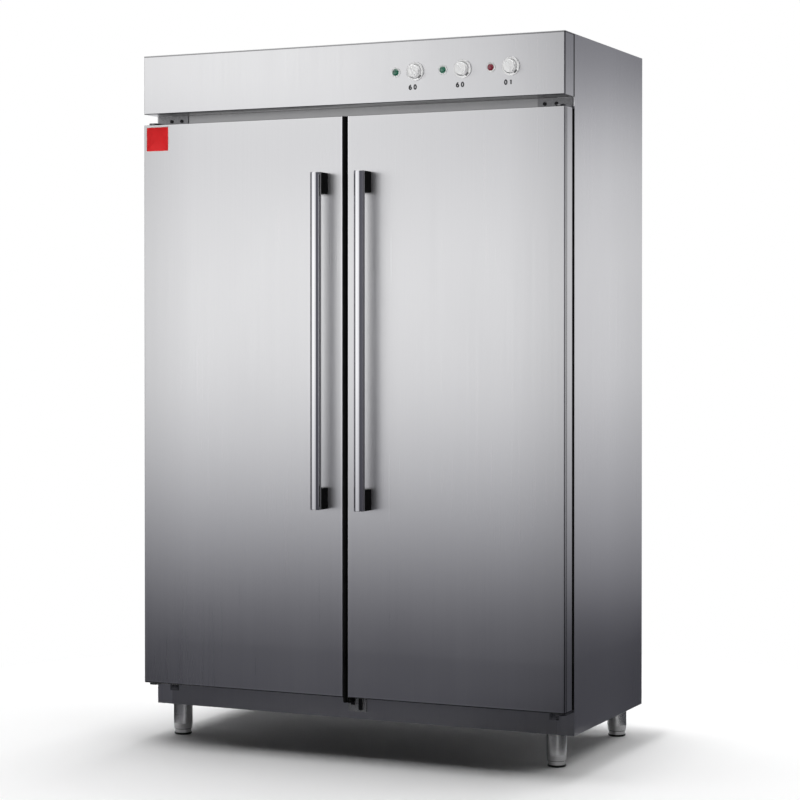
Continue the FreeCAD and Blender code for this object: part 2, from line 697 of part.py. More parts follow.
def door_catch():
    """Bracket on the bottom rail where the doors meet, with a short buffer and a long striker."""
    top = "catch_bottom + catch_high"
    outwards = (f"{FRONT} - finger_out", f"{FRONT} - plate_thick/2")
    buffer_start = "catch_left + finger_margin"
    striker_start = "catch_right - finger_margin - finger_wide"
    node(joined("door_catch", [
        box("catch_plate", ("catch_left", "catch_right"), (f"{FRONT} - plate_thick", FRONT),
            ("catch_bottom", top)),
        box("catch_buffer", (buffer_start, f"{buffer_start} + finger_wide"), outwards,
            ("buffer_low", "buffer_low + buffer_high")),
        box("catch_striker", (striker_start, f"{striker_start} + finger_wide"), outwards,
            ("striker_low", top)),
    ]))


def feet():
    """Round sleeves under the base, each with a screwed insert that sets the height."""
    sleeves = []
    for depth, y_place in (("front", f"{FRONT} + foot_set"), ("rear", f"{BACK} - foot_set")):
        for side in SIDES:
            x_place = f"{sign(side)}*({SIDE} - foot_in)"
            sleeve = body_at(f"{depth}_{side}_foot_sleeve", (x_place, y_place, "0"))
            bottom = "insert_high + groove"
            turned(sleeve, [
                ("bore_radius", bottom), ("sleeve_low_radius", bottom),
                ("sleeve_radius", f"{bottom} + sleeve_taper"),
                ("sleeve_radius", "foot_height"), ("0", "foot_height"), ("0", "bore_top"),
                ("bore_radius", "bore_top"),
            ])
            sleeves.append(sleeve)
            insert = body_at(f"{depth}_{side}_foot_insert", (x_place, y_place, "0"))
            turned(insert, [
                ("0", "0"), ("ring_radius - ring_chamfer", "0"), ("ring_radius", "ring_chamfer"),
                ("ring_radius", "ring_high"), ("insert_radius", "ring_high"),
                ("insert_radius", "insert_high"), ("stem_radius", "insert_high"),
                ("stem_radius", "stem_top"), ("0", "stem_top"),
            ])
            node(insert)
    node(group("foot_sleeves", sleeves))


# ---- the controls in the header --------------------------------------------------------

def knob(name, place):
    """Round skirt and raised cap with a diagonal grip, on the spindle that it turns."""
    body = body_at(f"{name}_knob", (place, DOOR, "control_z"), TOWARDS_DOORS)
    turned(body, [
        ("0", "-spindle_long"), ("spindle", "-spindle_long"), ("spindle", "knob_lift"),
        ("knob_skirt", "knob_lift"), ("knob_skirt", "knob_lift + knob_skirt_high"),
        ("knob_skirt - knob_edge", "knob_lift + knob_skirt_high + knob_edge"),
        ("knob_cap + knob_flare", "knob_lift + knob_skirt_high + knob_edge"),
        ("knob_cap", "knob_high - knob_edge"), ("knob_cap - knob_edge", "knob_high"),
        ("0", "knob_high"),
    ])
    grip = sketch_on(body, "XY_Plane")
    half = "grip_half*cos(45)"
    wide = "grip_wide/2*cos(45)"
    polygon(grip, [
        (f"{half} - {wide}", f"-{half} - {wide}"), (f"{half} + {wide}", f"-{half} + {wide}"),
        (f"-{half} + {wide}", f"{half} + {wide}"), (f"-{half} - {wide}", f"{half} - {wide}"),
    ])
    pad(body, grip, "knob_high + grip_high")
    node(body)


def switch_body(name, place, half):
    """Switch or timer behind the fascia: its bush fills the hole, the spindle runs in it."""
    block = box(f"{name}_case", (f"{place} - {half}", f"{place} + {half}"),
                (f"{DOOR} + skin", f"{DOOR} + skin + timer_deep"),
                (f"control_z - {half}", f"control_z + {half}"))
    bush = rod(f"{name}_bush", "bush", (place, DOOR, "control_z"), "2*skin", TOWARDS_BACK)
    bore = rod(f"{name}_bore", "spindle + pin_fit", (place, f"{DOOR} - skin", "control_z"),
               "spindle_long + 4*skin", TOWARDS_BACK)
    node(cut(name, joined(f"{name}_blank", [block, bush]), [bore]))


def lamp(name, place):
    """Indicator lamp: a body through the fascia, a flange and a domed lens."""
    body = body_at(name, (place, DOOR, "control_z"), TOWARDS_DOORS)
    turned(body, [
        ("0", "-lamp_tail"), ("lamp_body", "-lamp_tail"), ("lamp_body", "0"),
        ("lamp_flange", "0"), ("lamp_flange", "lamp_rim"),
        ("lamp_flange - lamp_bevel", "lamp_rim + lamp_bevel"),
        ("lamp_lens", "lamp_rim + lamp_bevel"), ("lamp_lens", "lamp_high - lamp_dome"),
        ("lamp_lens - lamp_dome", "lamp_high"), ("0", "lamp_high"),
    ])
    node(body)


def controls():
    for index, name in enumerate(KNOBS):
        place = f"(knob_first + {index}*control_pitch)"
        knob(name, place)
        if name == "power":
            switch_body("power_switch", place, "switch_half")
        else:
            switch_body(f"{name}_timer", place, "timer_half")
        lamp(f"{name}_lamp", f"(lamp_first + {index}*control_pitch)")
    node(box("control_box", ("-box_half", "box_half"), ("box_deep/2", "box_deep*3/2"),
             (DECK, f"{DECK} + box_high")))


def cable_gland():
    """Flanged gland through the back panel, with its nut inside and a bore for a cord."""
    inside = f"{BACK} - skin - nut_thick"
    parts = [
        rod("gland_barrel_part", "gland_barrel", ("gland_across", inside, "gland_z"),
            "nut_thick + skin + gland_out", TOWARDS_BACK),
        rod("gland_flange_part", "gland_flange", ("gland_across", BACK, "gland_z"),
            "gland_out/2", TOWARDS_BACK),
        rod("gland_nut_part", "nut_radius", ("gland_across", inside, "gland_z"),
            "nut_thick", TOWARDS_BACK),
    ]
    bore = rod("gland_bore_part", "gland_bore",
               ("gland_across", f"{inside} - skin", "gland_z"),
               "nut_thick + 4*skin + gland_out", TOWARDS_BACK)
    node(cut("cable_gland", joined("gland_blank", parts), [bore]))


# ---- the doors -------------------------------------------------------------------------

def door_skin(side):
    """Folded outer pan of the door, open at the back, with a sunk joint line round its sides
    and a hole for each hinge pin."""
    near = "door_gap/2"
    body = body_at(f"{side}_door_skin", ("0", DOOR_INSIDE, "0"))
    face = sketch_on(body, "XZ_Plane")
    rectangle(face, flip(side, near, SIDE), ("door_bottom", "door_top"))
    pad(body, face, "door_thick")
    thick = SIZES["door_thick"]
    round_edges(body, "bend", lambda edge: on_plane(edge, "Y", -thick))
    hollow = sketch_on(body, "XZ_Plane")
    rectangle(hollow, flip(side, f"{near} + skin", f"{SIDE} - skin"),
              ("door_bottom + skin", "door_top - skin"))
    pocket(body, hollow, "door_thick - skin", backwards=True)
    joint = sketch_on(body, "XZ_Plane")
    joint.setExpression("AttachmentOffset.Base.z", formula("door_thick - joint_back"))
    beyond = "joint_wide"
    rectangle(joint, flip(side, f"{near} - {beyond}", f"{SIDE} + {beyond}"),
              (f"door_bottom - {beyond}", f"door_top + {beyond}"))
    rectangle(joint, flip(side, f"{near} + joint_deep", f"{SIDE} - joint_deep"),
              ("door_bottom + joint_deep", "door_top - joint_deep"))
    pocket(body, joint, "joint_wide", backwards=True)
    holes = sketch_on(body, "XY_Plane")
    circle(holes, "pin_radius + pin_fit", (f"{sign(side)}*{PIVOT_X}",
                                           "pivot_back - door_thick"))
    pocket(body, holes, "door_top + skin", backwards=True)
    node(body)


def door_filling(side):
    """Wool inside the door, cleared round both hinge pins, and the sheet that shuts it in."""
    across = flip(side, "door_gap/2 + skin", f"{SIDE} - skin")
    up = ("door_bottom + skin", "door_top - skin")
    node(box(f"{side}_door_inner_panel", across, (f"{DOOR_INSIDE} - liner", DOOR_INSIDE), up))
    wool = box(f"{side}_door_wool", across, (f"{DOOR} + skin", f"{DOOR_INSIDE} - liner"), up)
    pivot_x = f"{sign(side)}*{PIVOT_X}"
    pockets = [
        rod(f"{side}_door_pocket_low", "pin_pocket", (pivot_x, PIVOT_Y, "door_bottom"),
            "pin_reach + 4"),
        rod(f"{side}_door_pocket_high", "pin_pocket",
            (pivot_x, PIVOT_Y, "door_top - pin_reach - 4"), "pin_reach + 4"),
    ]
    node(cut(f"{side}_door_insulation", wool, pockets))


def door_gasket(side):
    """Soft frame round the back of the door, just clear of the cabinet's front."""
    body = body_at(f"{side}_door_gasket", ("0", DOOR_INSIDE, "0"))
    frame = sketch_on(body, "XZ_Plane")
    near = "door_gap/2 + gasket_free_inset"
    far = f"{SIDE} - gasket_inset"
    low = "door_bottom + gasket_end_inset"
    high = "door_top - gasket_end_inset"
    rectangle(frame, flip(side, near, far), (low, high))
    rectangle(frame, flip(side, f"{near} + gasket_wide", f"{far} - gasket_wide"),
              (f"{low} + gasket_wide", f"{high} - gasket_wide"))
    pad(body, frame, "door_stand - door_thick - run_gap", backwards=True)
    node(body)


def door_handle(side):
    """Round bar on two black posts whose ends are hollowed to the bar."""
    place = f"{sign(side)}*bar_in"
    bar_y = f"{DOOR} - bar_middle"
    bar = body_at(f"{side}_door_handle_bar", (place, bar_y, "0"))
    turned(bar, [
        ("0", "bar_low"), ("bar_radius - bar_chamfer", "bar_low"),
        ("bar_radius", "bar_low + bar_chamfer"), ("bar_radius", "bar_high - bar_chamfer"),
        ("bar_radius - bar_chamfer", "bar_high"), ("0", "bar_high"),
    ])
    node(bar)
    posts = []
    for end, low in (("low", "bar_low"), ("high", "bar_high - post_high")):
        block = box(f"{side}_post_{end}_block",
                    (f"{place} - post_wide/2", f"{place} + post_wide/2"),
                    (f"{bar_y} + bar_radius/2", DOOR), (low, f"{low} + post_high"))
        saddle = rod(f"{side}_post_{end}_saddle", "bar_radius + post_saddle",
                     (place, bar_y, f"{low} - skin"), "post_high + 2*skin")
        posts.append(cut(f"{side}_post_{end}", block, [saddle]))
    node(group(f"{side}_door_handle_posts", posts))


def doors():
    for side in SIDES:
        door_skin(side)
        door_filling(side)
        door_gasket(side)
        door_handle(side)
        across = flip(side, "door_gap/2 - seal_wide", "door_gap/2")
        node(box(f"{side}_door_edge_seal", across,
                 (f"{DOOR} + seal_inset", f"{DOOR_INSIDE} - seal_inset"),
                 ("door_bottom - seal_drop", "door_top")))


# ---- build, check and write ------------------------------------------------------------

def check(things):
    """Stop if any feature failed, or any piece is empty or broken."""
    for thing in doc.Objects:
        if "Invalid" in thing.State or "Error" in thing.State:
            raise RuntimeError(f"{thing.Label} failed: {thing.State}")
    for piece in things:
        if piece.Shape.isNull() or not piece.Shape.isValid():
            raise RuntimeError(f"{piece.Label} has no valid shape")


def main():
    casing()
    liner()
    insulation()
    chamber_fittings()
    hinges()
    door_catch()
    feet()
    controls()
    cable_gland()
    doors()
    doc.recompute()
    check(nodes)
    os.makedirs("parts", exist_ok=True)
    for piece in nodes:
        piece.Shape.exportStep(f"parts/{piece.Label}.step")
        print(piece.Label, len(piece.Shape.Solids), "solids")
    print(len(nodes), "nodes")


main()
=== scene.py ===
# %% [markdown]
# # A steel dish sterilizer cabinet, dressed for its picture
# The cabinet itself, its sheets, doors, shelves and feet, is a finished model that this lesson only loads.
# The lesson gives every piece its finish and adds the small things that a model of sheets and solids leaves
# out: seals with real profiles, dial marks, screw heads, pressed beads, trim and a label.
# All lengths are in metres. X runs to the right of a person who faces the doors, Y to the back, Z up.

# %% Load the cabinet
import math

import bmesh
import bpy
import numpy as np
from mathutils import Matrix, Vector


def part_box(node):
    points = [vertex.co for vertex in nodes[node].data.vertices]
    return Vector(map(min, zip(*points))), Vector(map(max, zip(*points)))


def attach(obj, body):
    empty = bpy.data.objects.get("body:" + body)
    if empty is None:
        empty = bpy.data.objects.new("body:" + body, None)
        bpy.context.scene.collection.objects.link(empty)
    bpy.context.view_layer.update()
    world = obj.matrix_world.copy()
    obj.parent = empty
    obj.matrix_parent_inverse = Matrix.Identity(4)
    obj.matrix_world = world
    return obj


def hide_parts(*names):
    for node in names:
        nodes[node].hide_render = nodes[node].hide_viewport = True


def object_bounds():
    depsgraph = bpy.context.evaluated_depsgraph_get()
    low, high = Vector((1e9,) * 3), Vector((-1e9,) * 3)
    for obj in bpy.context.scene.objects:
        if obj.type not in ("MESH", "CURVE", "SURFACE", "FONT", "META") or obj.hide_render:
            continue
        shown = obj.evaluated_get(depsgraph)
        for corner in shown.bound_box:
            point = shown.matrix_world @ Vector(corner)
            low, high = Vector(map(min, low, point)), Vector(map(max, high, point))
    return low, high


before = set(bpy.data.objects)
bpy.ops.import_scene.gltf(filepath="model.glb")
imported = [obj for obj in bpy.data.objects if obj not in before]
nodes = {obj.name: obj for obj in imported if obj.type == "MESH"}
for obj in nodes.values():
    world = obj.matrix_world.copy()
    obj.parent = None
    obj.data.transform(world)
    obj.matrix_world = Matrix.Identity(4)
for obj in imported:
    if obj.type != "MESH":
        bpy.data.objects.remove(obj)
whole_low, whole_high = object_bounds()

# %% [markdown]
# ## Places that the model fixes
# A new piece sits on a piece that is already there, so its place is read from that piece's box and never
# typed in. Three planes come back all the time: the face of the doors, the face of the cabinet behind them,
# and the outside of the rear sheet.

# %% Read the main planes
MM = 0.001
TO_FRONT = (0, -1, 0)
TO_BACK = (0, 1, 0)
SIDES = ("left", "right")
KNOBS = ("left_chamber", "right_chamber", "power")

door_low, door_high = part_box("right_door_skin")
door_left_low, door_left_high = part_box("left_door_skin")
header_low, header_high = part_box("header_panel")
rear_low, rear_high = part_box("back_panel")
door_face = door_low.y
header_face = header_low.y
rear_face = rear_high.y
body_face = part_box("side_panel_left")[0].y
half_width = whole_high.x


def side_sign(side):
    """-1 on the left, +1 on the right: a place on the right times this is its mirror image."""
    return -1 if side == "left" else 1


def middle_of(name):
    """X and Z of the middle of a piece's box."""
    low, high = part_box(name)
    return (low.x + high.x) / 2, (low.z + high.z) / 2


print("door face", round(door_face, 3), "rear face", round(rear_face, 3), "half width", round(half_width, 3))

# %% [markdown]
# ## The camera
# A long lens stands to the right of the cabinet, a little above its middle. The lens is shifted down so that
# upright edges stay nearly upright while the whole cabinet is in the picture, as with a view camera.

# %% Set up the camera
SENSOR = 36.0
LENS = 97.83
LENS_SHIFT = -0.055
CAMERA_PLACE = (2.4586, -5.2909, 1.0766)
DEGREES_DOWN = 0.488
DEGREES_LEFT = 24.664
FARTHEST = 200
camera_data = bpy.data.cameras.new("studio_camera")
camera_data.sensor_width = SENSOR
camera_data.lens = LENS
camera_data.shift_y = LENS_SHIFT
camera_data.clip_end = FARTHEST
camera = bpy.data.objects.new("studio_camera", camera_data)
camera.location = CAMERA_PLACE
camera.rotation_euler = (math.radians(90 - DEGREES_DOWN), 0, math.radians(DEGREES_LEFT))
bpy.context.scene.collection.objects.link(camera)
bpy.context.scene.camera = camera
bpy.context.scene.view_settings.view_transform = "Standard"
print("camera", round(camera.location.length, 2), "m from the floor's middle, lens", LENS, "mm")

# %% [markdown]
# ## Putting numbers into a mesh
# Every new piece is a surface worked out with numpy. A grid of points, rows by columns, becomes four-sided
# faces between neighbours. One helper does that for all of them, so each piece only needs its own formula.
# Rows or columns that run round something are closed by joining the last one to the first.

# %% Grid helper
made = []


def keep(name, corners, faces, body, finish):
    """Make a smooth mesh object out of corners (n, 3) and faces, dress it and let it ride on a body."""
    mesh = bpy.data.meshes.new(name)
    mesh.from_pydata(corners.tolist(), [], faces)
    mesh.validate()
    mesh.polygons.foreach_set("use_smooth", np.full(len(mesh.polygons), True))
    mesh.materials.append(finish)
    piece = bpy.data.objects.new(name, mesh)
    bpy.context.scene.collection.objects.link(piece)
    if body is not None:
        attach(piece, body)
    made.append(piece)
    return piece


def grid_faces(rows, columns, wrap_rows=False, wrap_columns=False):
    """Quads of a grid: corner (i, j) is number i * columns + j, and a wrapped side comes back to 0."""
    i = np.arange(rows if wrap_rows else rows - 1)
    j = np.arange(columns if wrap_columns else columns - 1)
    i, j = np.meshgrid(i, j, indexing="ij")
    below = (i + 1) % rows
    right = (j + 1) % columns
    quads = np.stack([i * columns + j, i * columns + right, below * columns + right, below * columns + j], -1)
    return quads.reshape(-1, 4).tolist()


print("grid helper ready")

# %% [markdown]
# ## One helper for closed skins
# Almost every small part is a stack of loops: a turned knob is a stack of circles, a plate is a stack of
# rounded rectangles that shrink over its edge, and a rubber seal is one section carried round a frame.
# So one helper takes loops of equal length and skins them, and closes both ends with a fan to the middle.
# Normals are worked out from the closed skin, and edges sharper than an angle stay crisp.

# %% Skin helper
def skin(loops, ring=False):
    """Corners and faces of a stack of closed loops (rows, columns, 3); a ring joins last row to first."""
    rows, columns = loops.shape[:2]
    corners = loops.reshape(-1, 3)
    faces = grid_faces(rows, columns, wrap_rows=ring, wrap_columns=True)
    if ring:
        return corners, faces
    middles = np.stack([loops[0].mean(0), loops[-1].mean(0)])
    along = np.arange(columns)
    onward = (along + 1) % columns
    first, last = rows * columns, rows * columns + 1
    low = np.stack([np.full(columns, first), onward, along], -1)
    base = (rows - 1) * columns
    high = np.stack([np.full(columns, last), base + along, base + onward], -1)
    return np.vstack([corners, middles]), faces + low.tolist() + high.tolist()


def gather(parts):
    """Several skins as one: the face numbers of each are moved up by the corners before it."""
    corners = []
    faces = []
    for part_corners, part_faces in parts:
        shift = sum(len(c) for c in corners)
        corners.append(part_corners)
        faces += [[index + shift for index in face] for face in part_faces]
    return np.vstack(corners), faces


def solid(name, parts, body, finish, crisp=35):
    """A kept piece whose faces are turned outwards and whose edges over `crisp` degrees stay sharp."""
    corners, faces = gather(parts)
    piece = keep(name, corners, faces, body, finish)
    shell = bmesh.new()
    shell.from_mesh(piece.data)
    bmesh.ops.recalc_face_normals(shell, faces=shell.faces)
    shell.to_mesh(piece.data)
    shell.free()
    piece.data.set_sharp_from_angle(angle=math.radians(crisp))
    return piece


print("skin helper ready")

# %% [markdown]
# ## Three families of loops
# A turned part needs a radius and a height for each loop. A plate needs an inset and a height. A seal or a
# bead needs a section and a path. The three functions below give those loops in space; the direction that a
# part points in is given by one axis, and two more at right angles to it are worked out.

# %% Loops for turned parts, plates and carried sections
NEARLY_UPRIGHT = 0.9
LEAST_ROUND = 0.2


def cross_axes(axis):
    """Two unit vectors at right angles to an axis and to each other, the second as upright as can be."""
    axis = np.asarray(axis, float)
    guide = np.array([0.0, 0.0, 1.0]) if abs(axis[2]) < NEARLY_UPRIGHT else np.array([0.0, 1.0, 0.0])
    across = np.cross(guide, axis)
    across /= np.linalg.norm(across)
    return across, np.cross(axis, across)


def turned(centre, axis, profile, columns=48, ring=False):
    """Circle loops: centre + axis * height + radius * (across * cos + up * sin) for each (radius, height)."""
    across, up = cross_axes(axis)
    radius, height = np.asarray(profile, float).T
    angle = np.linspace(0, 2 * np.pi, columns, endpoint=False)
    circle = np.outer(np.cos(angle), across) + np.outer(np.sin(angle), up)
    return skin(np.asarray(centre) + np.outer(height, axis)[:, None] + radius[:, None, None] * circle, ring)


def rounded(half_wide, half_high, radius, per_corner=6):
    """A rounded rectangle: each point is a corner's centre plus the radius along a way in its quarter."""
    quarter = np.linspace(0, np.pi / 2, per_corner)
    angle = np.concatenate([quarter + turn * np.pi / 2 for turn in range(4)])
    wide = np.repeat([1, -1, -1, 1], per_corner) * (half_wide - radius)
    high = np.repeat([1, 1, -1, -1], per_corner) * (half_high - radius)
    return np.stack([wide + radius * np.cos(angle), high + radius * np.sin(angle)], -1)


def plate(centre, axis, half_wide, half_high, radius, steps):
    """Rounded-rectangle loops, each drawn in by its inset and lifted by its height along the axis."""
    across, up = cross_axes(axis)
    loops = []
    for inset, height in steps:
        corner = max(radius - inset, LEAST_ROUND * radius)
        outline = rounded(half_wide - inset, half_high - inset, corner)
        flat = outline[:, :1] * across + outline[:, 1:] * up
        loops.append(np.asarray(centre) + flat + height * np.asarray(axis, float))
    return skin(np.stack(loops))


def framed(low, high, section, depth_at):
    """A section (outwards, depth) carried round an upright frame: mitred corners, each section point moved
    outwards by its first number on both axes at once, and along Y by its second from the plane depth_at."""
    corners = np.array([[low[0], low[1]], [high[0], low[1]], [high[0], high[1]], [low[0], high[1]]])
    outwards = np.array([[-1, -1], [1, -1], [1, 1], [-1, 1]], float)
    section = np.asarray(section, float)
    flat = corners[:, None] + outwards[:, None] * section[None, :, :1]
    depth = np.broadcast_to(depth_at + section[None, :, 1:], flat.shape[:2] + (1,))
    loops = np.concatenate([flat[..., :1], depth, flat[..., 1:]], -1)
    return skin(loops, ring=True)


print("loop families ready")

# %% [markdown]
# ## Finishes
# A finish is one Principled shader. Values that are the same all over the surface are set on the shader
# itself, and other nodes are wired to it where a value changes. Nodes are made and wired so often that a few
# short helpers keep the rest readable.

# %% Node helpers
def shader_of(material):
    """The material's Principled shader."""
    return material.node_tree.nodes["Principled BSDF"]


def finish(name, colour, metal, rough, **settings):
    """A Principled material with its even values set on the shader's own sockets."""
    material = bpy.data.materials.new(name)
    material.use_nodes = True
    shader = shader_of(material)
    shader.inputs["Base Color"].default_value = (*colour, 1)
    shader.inputs["Metallic"].default_value = metal
    shader.inputs["Roughness"].default_value = rough
    for socket, value in settings.items():
        shader.inputs[socket.replace("_", " ")].default_value = value
    return material


def add(owner, kind, **settings):
    """A new shader node with its settings, in a material or in the world."""
    node = owner.node_tree.nodes.new(kind)
    for setting, value in settings.items():
        setattr(node, setting, value)
    return node


def join(owner, output, socket):
    """Wire one node's output to another node's input."""
    owner.node_tree.links.new(output, socket)


def maths(owner, operation, *values):
    """The answer of a Math node, worked out from other nodes' outputs and plain numbers."""
    node = add(owner, "ShaderNodeMath", operation=operation)
    for socket, value in zip(node.inputs, values):
        if isinstance(value, (int, float)):
            socket.default_value = value
        else:
            join(owner, value, socket)
    return node.outputs[0]


def onto(material, output, socket):
    """Wire an output to one of the inputs of the material's Principled shader."""
    join(material, output, shader_of(material).inputs[socket])


print("node helpers ready")

# %% [markdown]
# ## Patterns
# What makes a finish look like steel or rubber instead of a flat colour is a pattern that moves its colour,
# its roughness and its surface a little at the same time. The pattern is noise on the piece's own
# coordinates, stretched along the grain. A picture laid over the piece would need a flat layout of every
# sheet, and noise needs none.

# %% Pattern helpers
FIRST_COLOUR, SECOND_COLOUR, MIXED_COLOUR = 6, 7, 2     # sockets of the Mix node when it mixes colours


def noise(material, size, detail=2.0, twist=0.0):
    """Noise whose features are size = (x, y, z) metres long: the coordinates are divided by that size."""
    place = add(material, "ShaderNodeTexCoord")
    stretch = add(material, "ShaderNodeMapping")
    stretch.inputs["Scale"].default_value = [1 / length for length in size]
    grain = add(material, "ShaderNodeTexNoise")
    grain.inputs["Scale"].default_value = 1.0
    grain.inputs["Detail"].default_value = detail
    grain.inputs["Distortion"].default_value = twist
    join(material, place.outputs["Object"], stretch.inputs["Vector"])
    join(material, stretch.outputs["Vector"], grain.inputs["Vector"])
    return grain.outputs["Fac"]


def mixed(material, first, second, share):
    """Two patterns as one: first * (1 - share) + second * share."""
    mixer = add(material, "ShaderNodeMix", data_type="FLOAT")
    mixer.inputs["Factor"].default_value = share
    join(material, first, mixer.inputs["A"])
    join(material, second, mixer.inputs["B"])
    return mixer.outputs["Result"]


def stepped(material, pattern, low, high, start=0.3, stop=0.7):
    """The pattern as a number: low where it is under start, high where it is over stop, a ramp between."""
    ramp = add(material, "ShaderNodeMapRange")
    for socket, value in zip(("From Min", "From Max", "To Min", "To Max"), (start, stop, low, high)):
        ramp.inputs[socket].default_value = value
    join(material, pattern, ramp.inputs["Value"])
    return ramp.outputs["Result"]


def coloured(material, pattern, dark, light):
    """Base colour from dark to light as the pattern goes from 0.3 to 0.7."""
    mixer = add(material, "ShaderNodeMix", data_type="RGBA")
    mixer.inputs[FIRST_COLOUR].default_value = (*dark, 1)
    mixer.inputs[SECOND_COLOUR].default_value = (*light, 1)
    join(material, stepped(material, pattern, 0, 1), mixer.inputs["Factor"])
    onto(material, mixer.outputs[MIXED_COLOUR], "Base Color")


def roughened(material, pattern, low, high):
    """Roughness from low to high with the pattern."""
    onto(material, stepped(material, pattern, low, high), "Roughness")


def raised(material, pattern, height):
    """Bump: the pattern as a relief that is height metres deep."""
    bump = add(material, "ShaderNodeBump")
    bump.inputs["Distance"].default_value = height
    join(material, pattern, bump.inputs["Height"])
    onto(material, bump.outputs["Normal"], "Normal")


def brushed_along(material, axis):
    """Point the shader's tangent round an axis, so that gloss smears across the brush strokes."""
    tangent = add(material, "ShaderNodeTangent", direction_type="RADIAL", axis=axis)
    onto(material, tangent.outputs["Tangent"], "Tangent")


print("pattern helpers ready")

# %% [markdown]
# ## Levels by place
# A large sheet isn't equally bright from end to end, and a bend or a joint is a narrow dark line. Both are
# painted shade and painted highlight: the base colour times a number that depends on where the surface is,
# read from the same coordinates.

# %% Level helpers
BAND_SOFT = 0.5 * MM


def placed(material, axis):
    """A coordinate of the surface, in metres, as a pattern: X, Y or Z."""
    split = add(material, "ShaderNodeSeparateXYZ")
    join(material, add(material, "ShaderNodeTexCoord").outputs["Object"], split.inputs[0])
    return split.outputs[axis]


def distance_from(material, axis, middle):
    """How far the surface is from a place on an axis, to either side."""
    return maths(material, "ABSOLUTE", maths(material, "SUBTRACT", placed(material, axis), middle))


def shaded(material, share):
    """Scale the base colour by a number that changes over the surface."""
    base = shader_of(material).inputs["Base Color"]
    scale = add(material, "ShaderNodeVectorMath", operation="SCALE")
    join(material, base.links[0].from_socket, scale.inputs[0])
    join(material, share, scale.inputs["Scale"])
    join(material, scale.outputs[0], base)


def toned(material, axis, levels, start, stop):
    """Scale the base colour by the first level below `start` on an axis, and by the second above `stop`."""
    shaded(material, stepped(material, placed(material, axis), *levels, start, stop))


def band(material, axis, middle, half, level):
    """Scale the base colour by `level` within `half` of a place on an axis: painted shade of a bend or a
    joint under 1, a painted highlight over 1.
    """
    away = distance_from(material, axis, middle)
    shaded(material, stepped(material, away, level, 1.0, half, half + BAND_SOFT))


def dress(material, *names):
    """Give one finish to CAD pieces by name."""
    for name in names:
        piece = nodes[name]
        piece.data.materials.clear()
        piece.data.materials.append(material)


print("level helpers ready")

# %% [markdown]
# ## Brushed steel
# The casing is stainless sheet with an upright brushed grain. Real strokes are hair-thin and a hand long, so
# three sizes of streak are mixed: fine ones that only roughen the gloss, wider ones that the eye can see, and
# soft clouds from handling. The grain smears reflections sideways, which is what makes a brushed door look
# even from side to side and shaded from top to bottom. The flat roof has the same sheet lying down.

# %% Brushed steel
STEEL = (0.705, 0.705, 0.708)
STEEL_DARK = (0.66, 0.66, 0.664)
HAIR_WIDE, HAIR_LONG = 0.0011, 0.28
STREAK_WIDE, STREAK_LONG = 0.007, 0.9
CLOUD_SIZE = (0.35, 0.35, 0.5)


def brushed_steel(name, grain, rough, light=STEEL, dark=STEEL_DARK, smear="Z"):
    """Sheet with its grain along the axis that is 1 in `grain`, which smears gloss round the axis `smear`."""
    material = finish(name, light, 1.0, sum(rough) / 2, Anisotropic=0.7)
    hair = noise(material, [HAIR_LONG if along else HAIR_WIDE for along in grain], detail=3)
    streak = noise(material, [STREAK_LONG if along else STREAK_WIDE for along in grain], detail=3)
    cloud = noise(material, CLOUD_SIZE, detail=4, twist=0.6)
    lines = mixed(material, hair, streak, share=0.45)
    coloured(material, mixed(material, lines, cloud, share=0.3), dark, light)
    roughened(material, mixed(material, lines, cloud, share=0.35), *rough)
    raised(material, hair, height=0.00003)
    brushed_along(material, smear)
    return material


UPRIGHT = (0, 0, 1)
ACROSS = (1, 0, 0)
case_steel = brushed_steel("case_steel", UPRIGHT, (0.25, 0.36))
# Painted shade: the side and rear sheets are darker towards the back.
toned(case_steel, "Y", (1.0, 0.88), start=0.05, stop=0.30)
dress(case_steel, "side_panel_left", "side_panel_right", "back_panel")

roof_steel = brushed_steel("roof_steel", ACROSS, (0.27, 0.38), smear="X")
dress(roof_steel, "top_panel", "base_panel")

rail_steel = brushed_steel("rail_steel", UPRIGHT, (0.27, 0.38))
# Painted shade: the bottom rail is a quarter darker than the casing, the top rail under the header about
# half.
toned(rail_steel, "Z", (0.74, 0.48), start=0.2, stop=1.5)
dress(rail_steel, "bottom_rail", "top_rail")
print("casing, roof and rails done")

# %% [markdown]
# ## Doors, header and liners
# Bends and joints are only a few millimetres wide, so narrow bands of painted shade and painted highlight
# beside
# the real edges help the eye: dark where a bend turns away or a joint opens, light where a folded edge
# shines.
# The doors are also painted darker towards the hinges, the header towards its right end. The liners of the
# two chambers are the same kind of sheet, a little darker.

# %% Doors, header and liners
# Painted shade and highlight: doors are a little darker towards the hinges, and a painted highlight lies
# along their folded edges at the middle.
door_steel = brushed_steel("door_steel", UPRIGHT, (0.25, 0.36))
outwards = distance_from(door_steel, "X", middle=0)
shaded(door_steel, stepped(door_steel, outwards, 1.0, 0.88, start=0.45, stop=0.60))
shaded(door_steel, stepped(door_steel, outwards, 1.28, 1.0, start=10.6 * MM, stop=11.8 * MM))

header_steel = brushed_steel("header_steel", UPRIGHT, (0.25, 0.36))
# Painted shade: the header is darker towards its right end.
toned(header_steel, "X", (1.04, 0.92), start=0.42, stop=0.60)
# Painted shadow where the header's back meets the cabinet's face, and painted shade along its top edge.
band(header_steel, "Y", middle=body_face - 4.2 * MM, half=4.2 * MM, level=0.05)
band(header_steel, "Z", middle=header_high.z - 1.2 * MM, half=1.6 * MM, level=0.4)
# Painted shade where the header and the doors bend round at their front corners.
for bent in (header_steel, door_steel):
    band(bent, "Y", middle=door_face + 3.6 * MM, half=2.6 * MM, level=0.3)
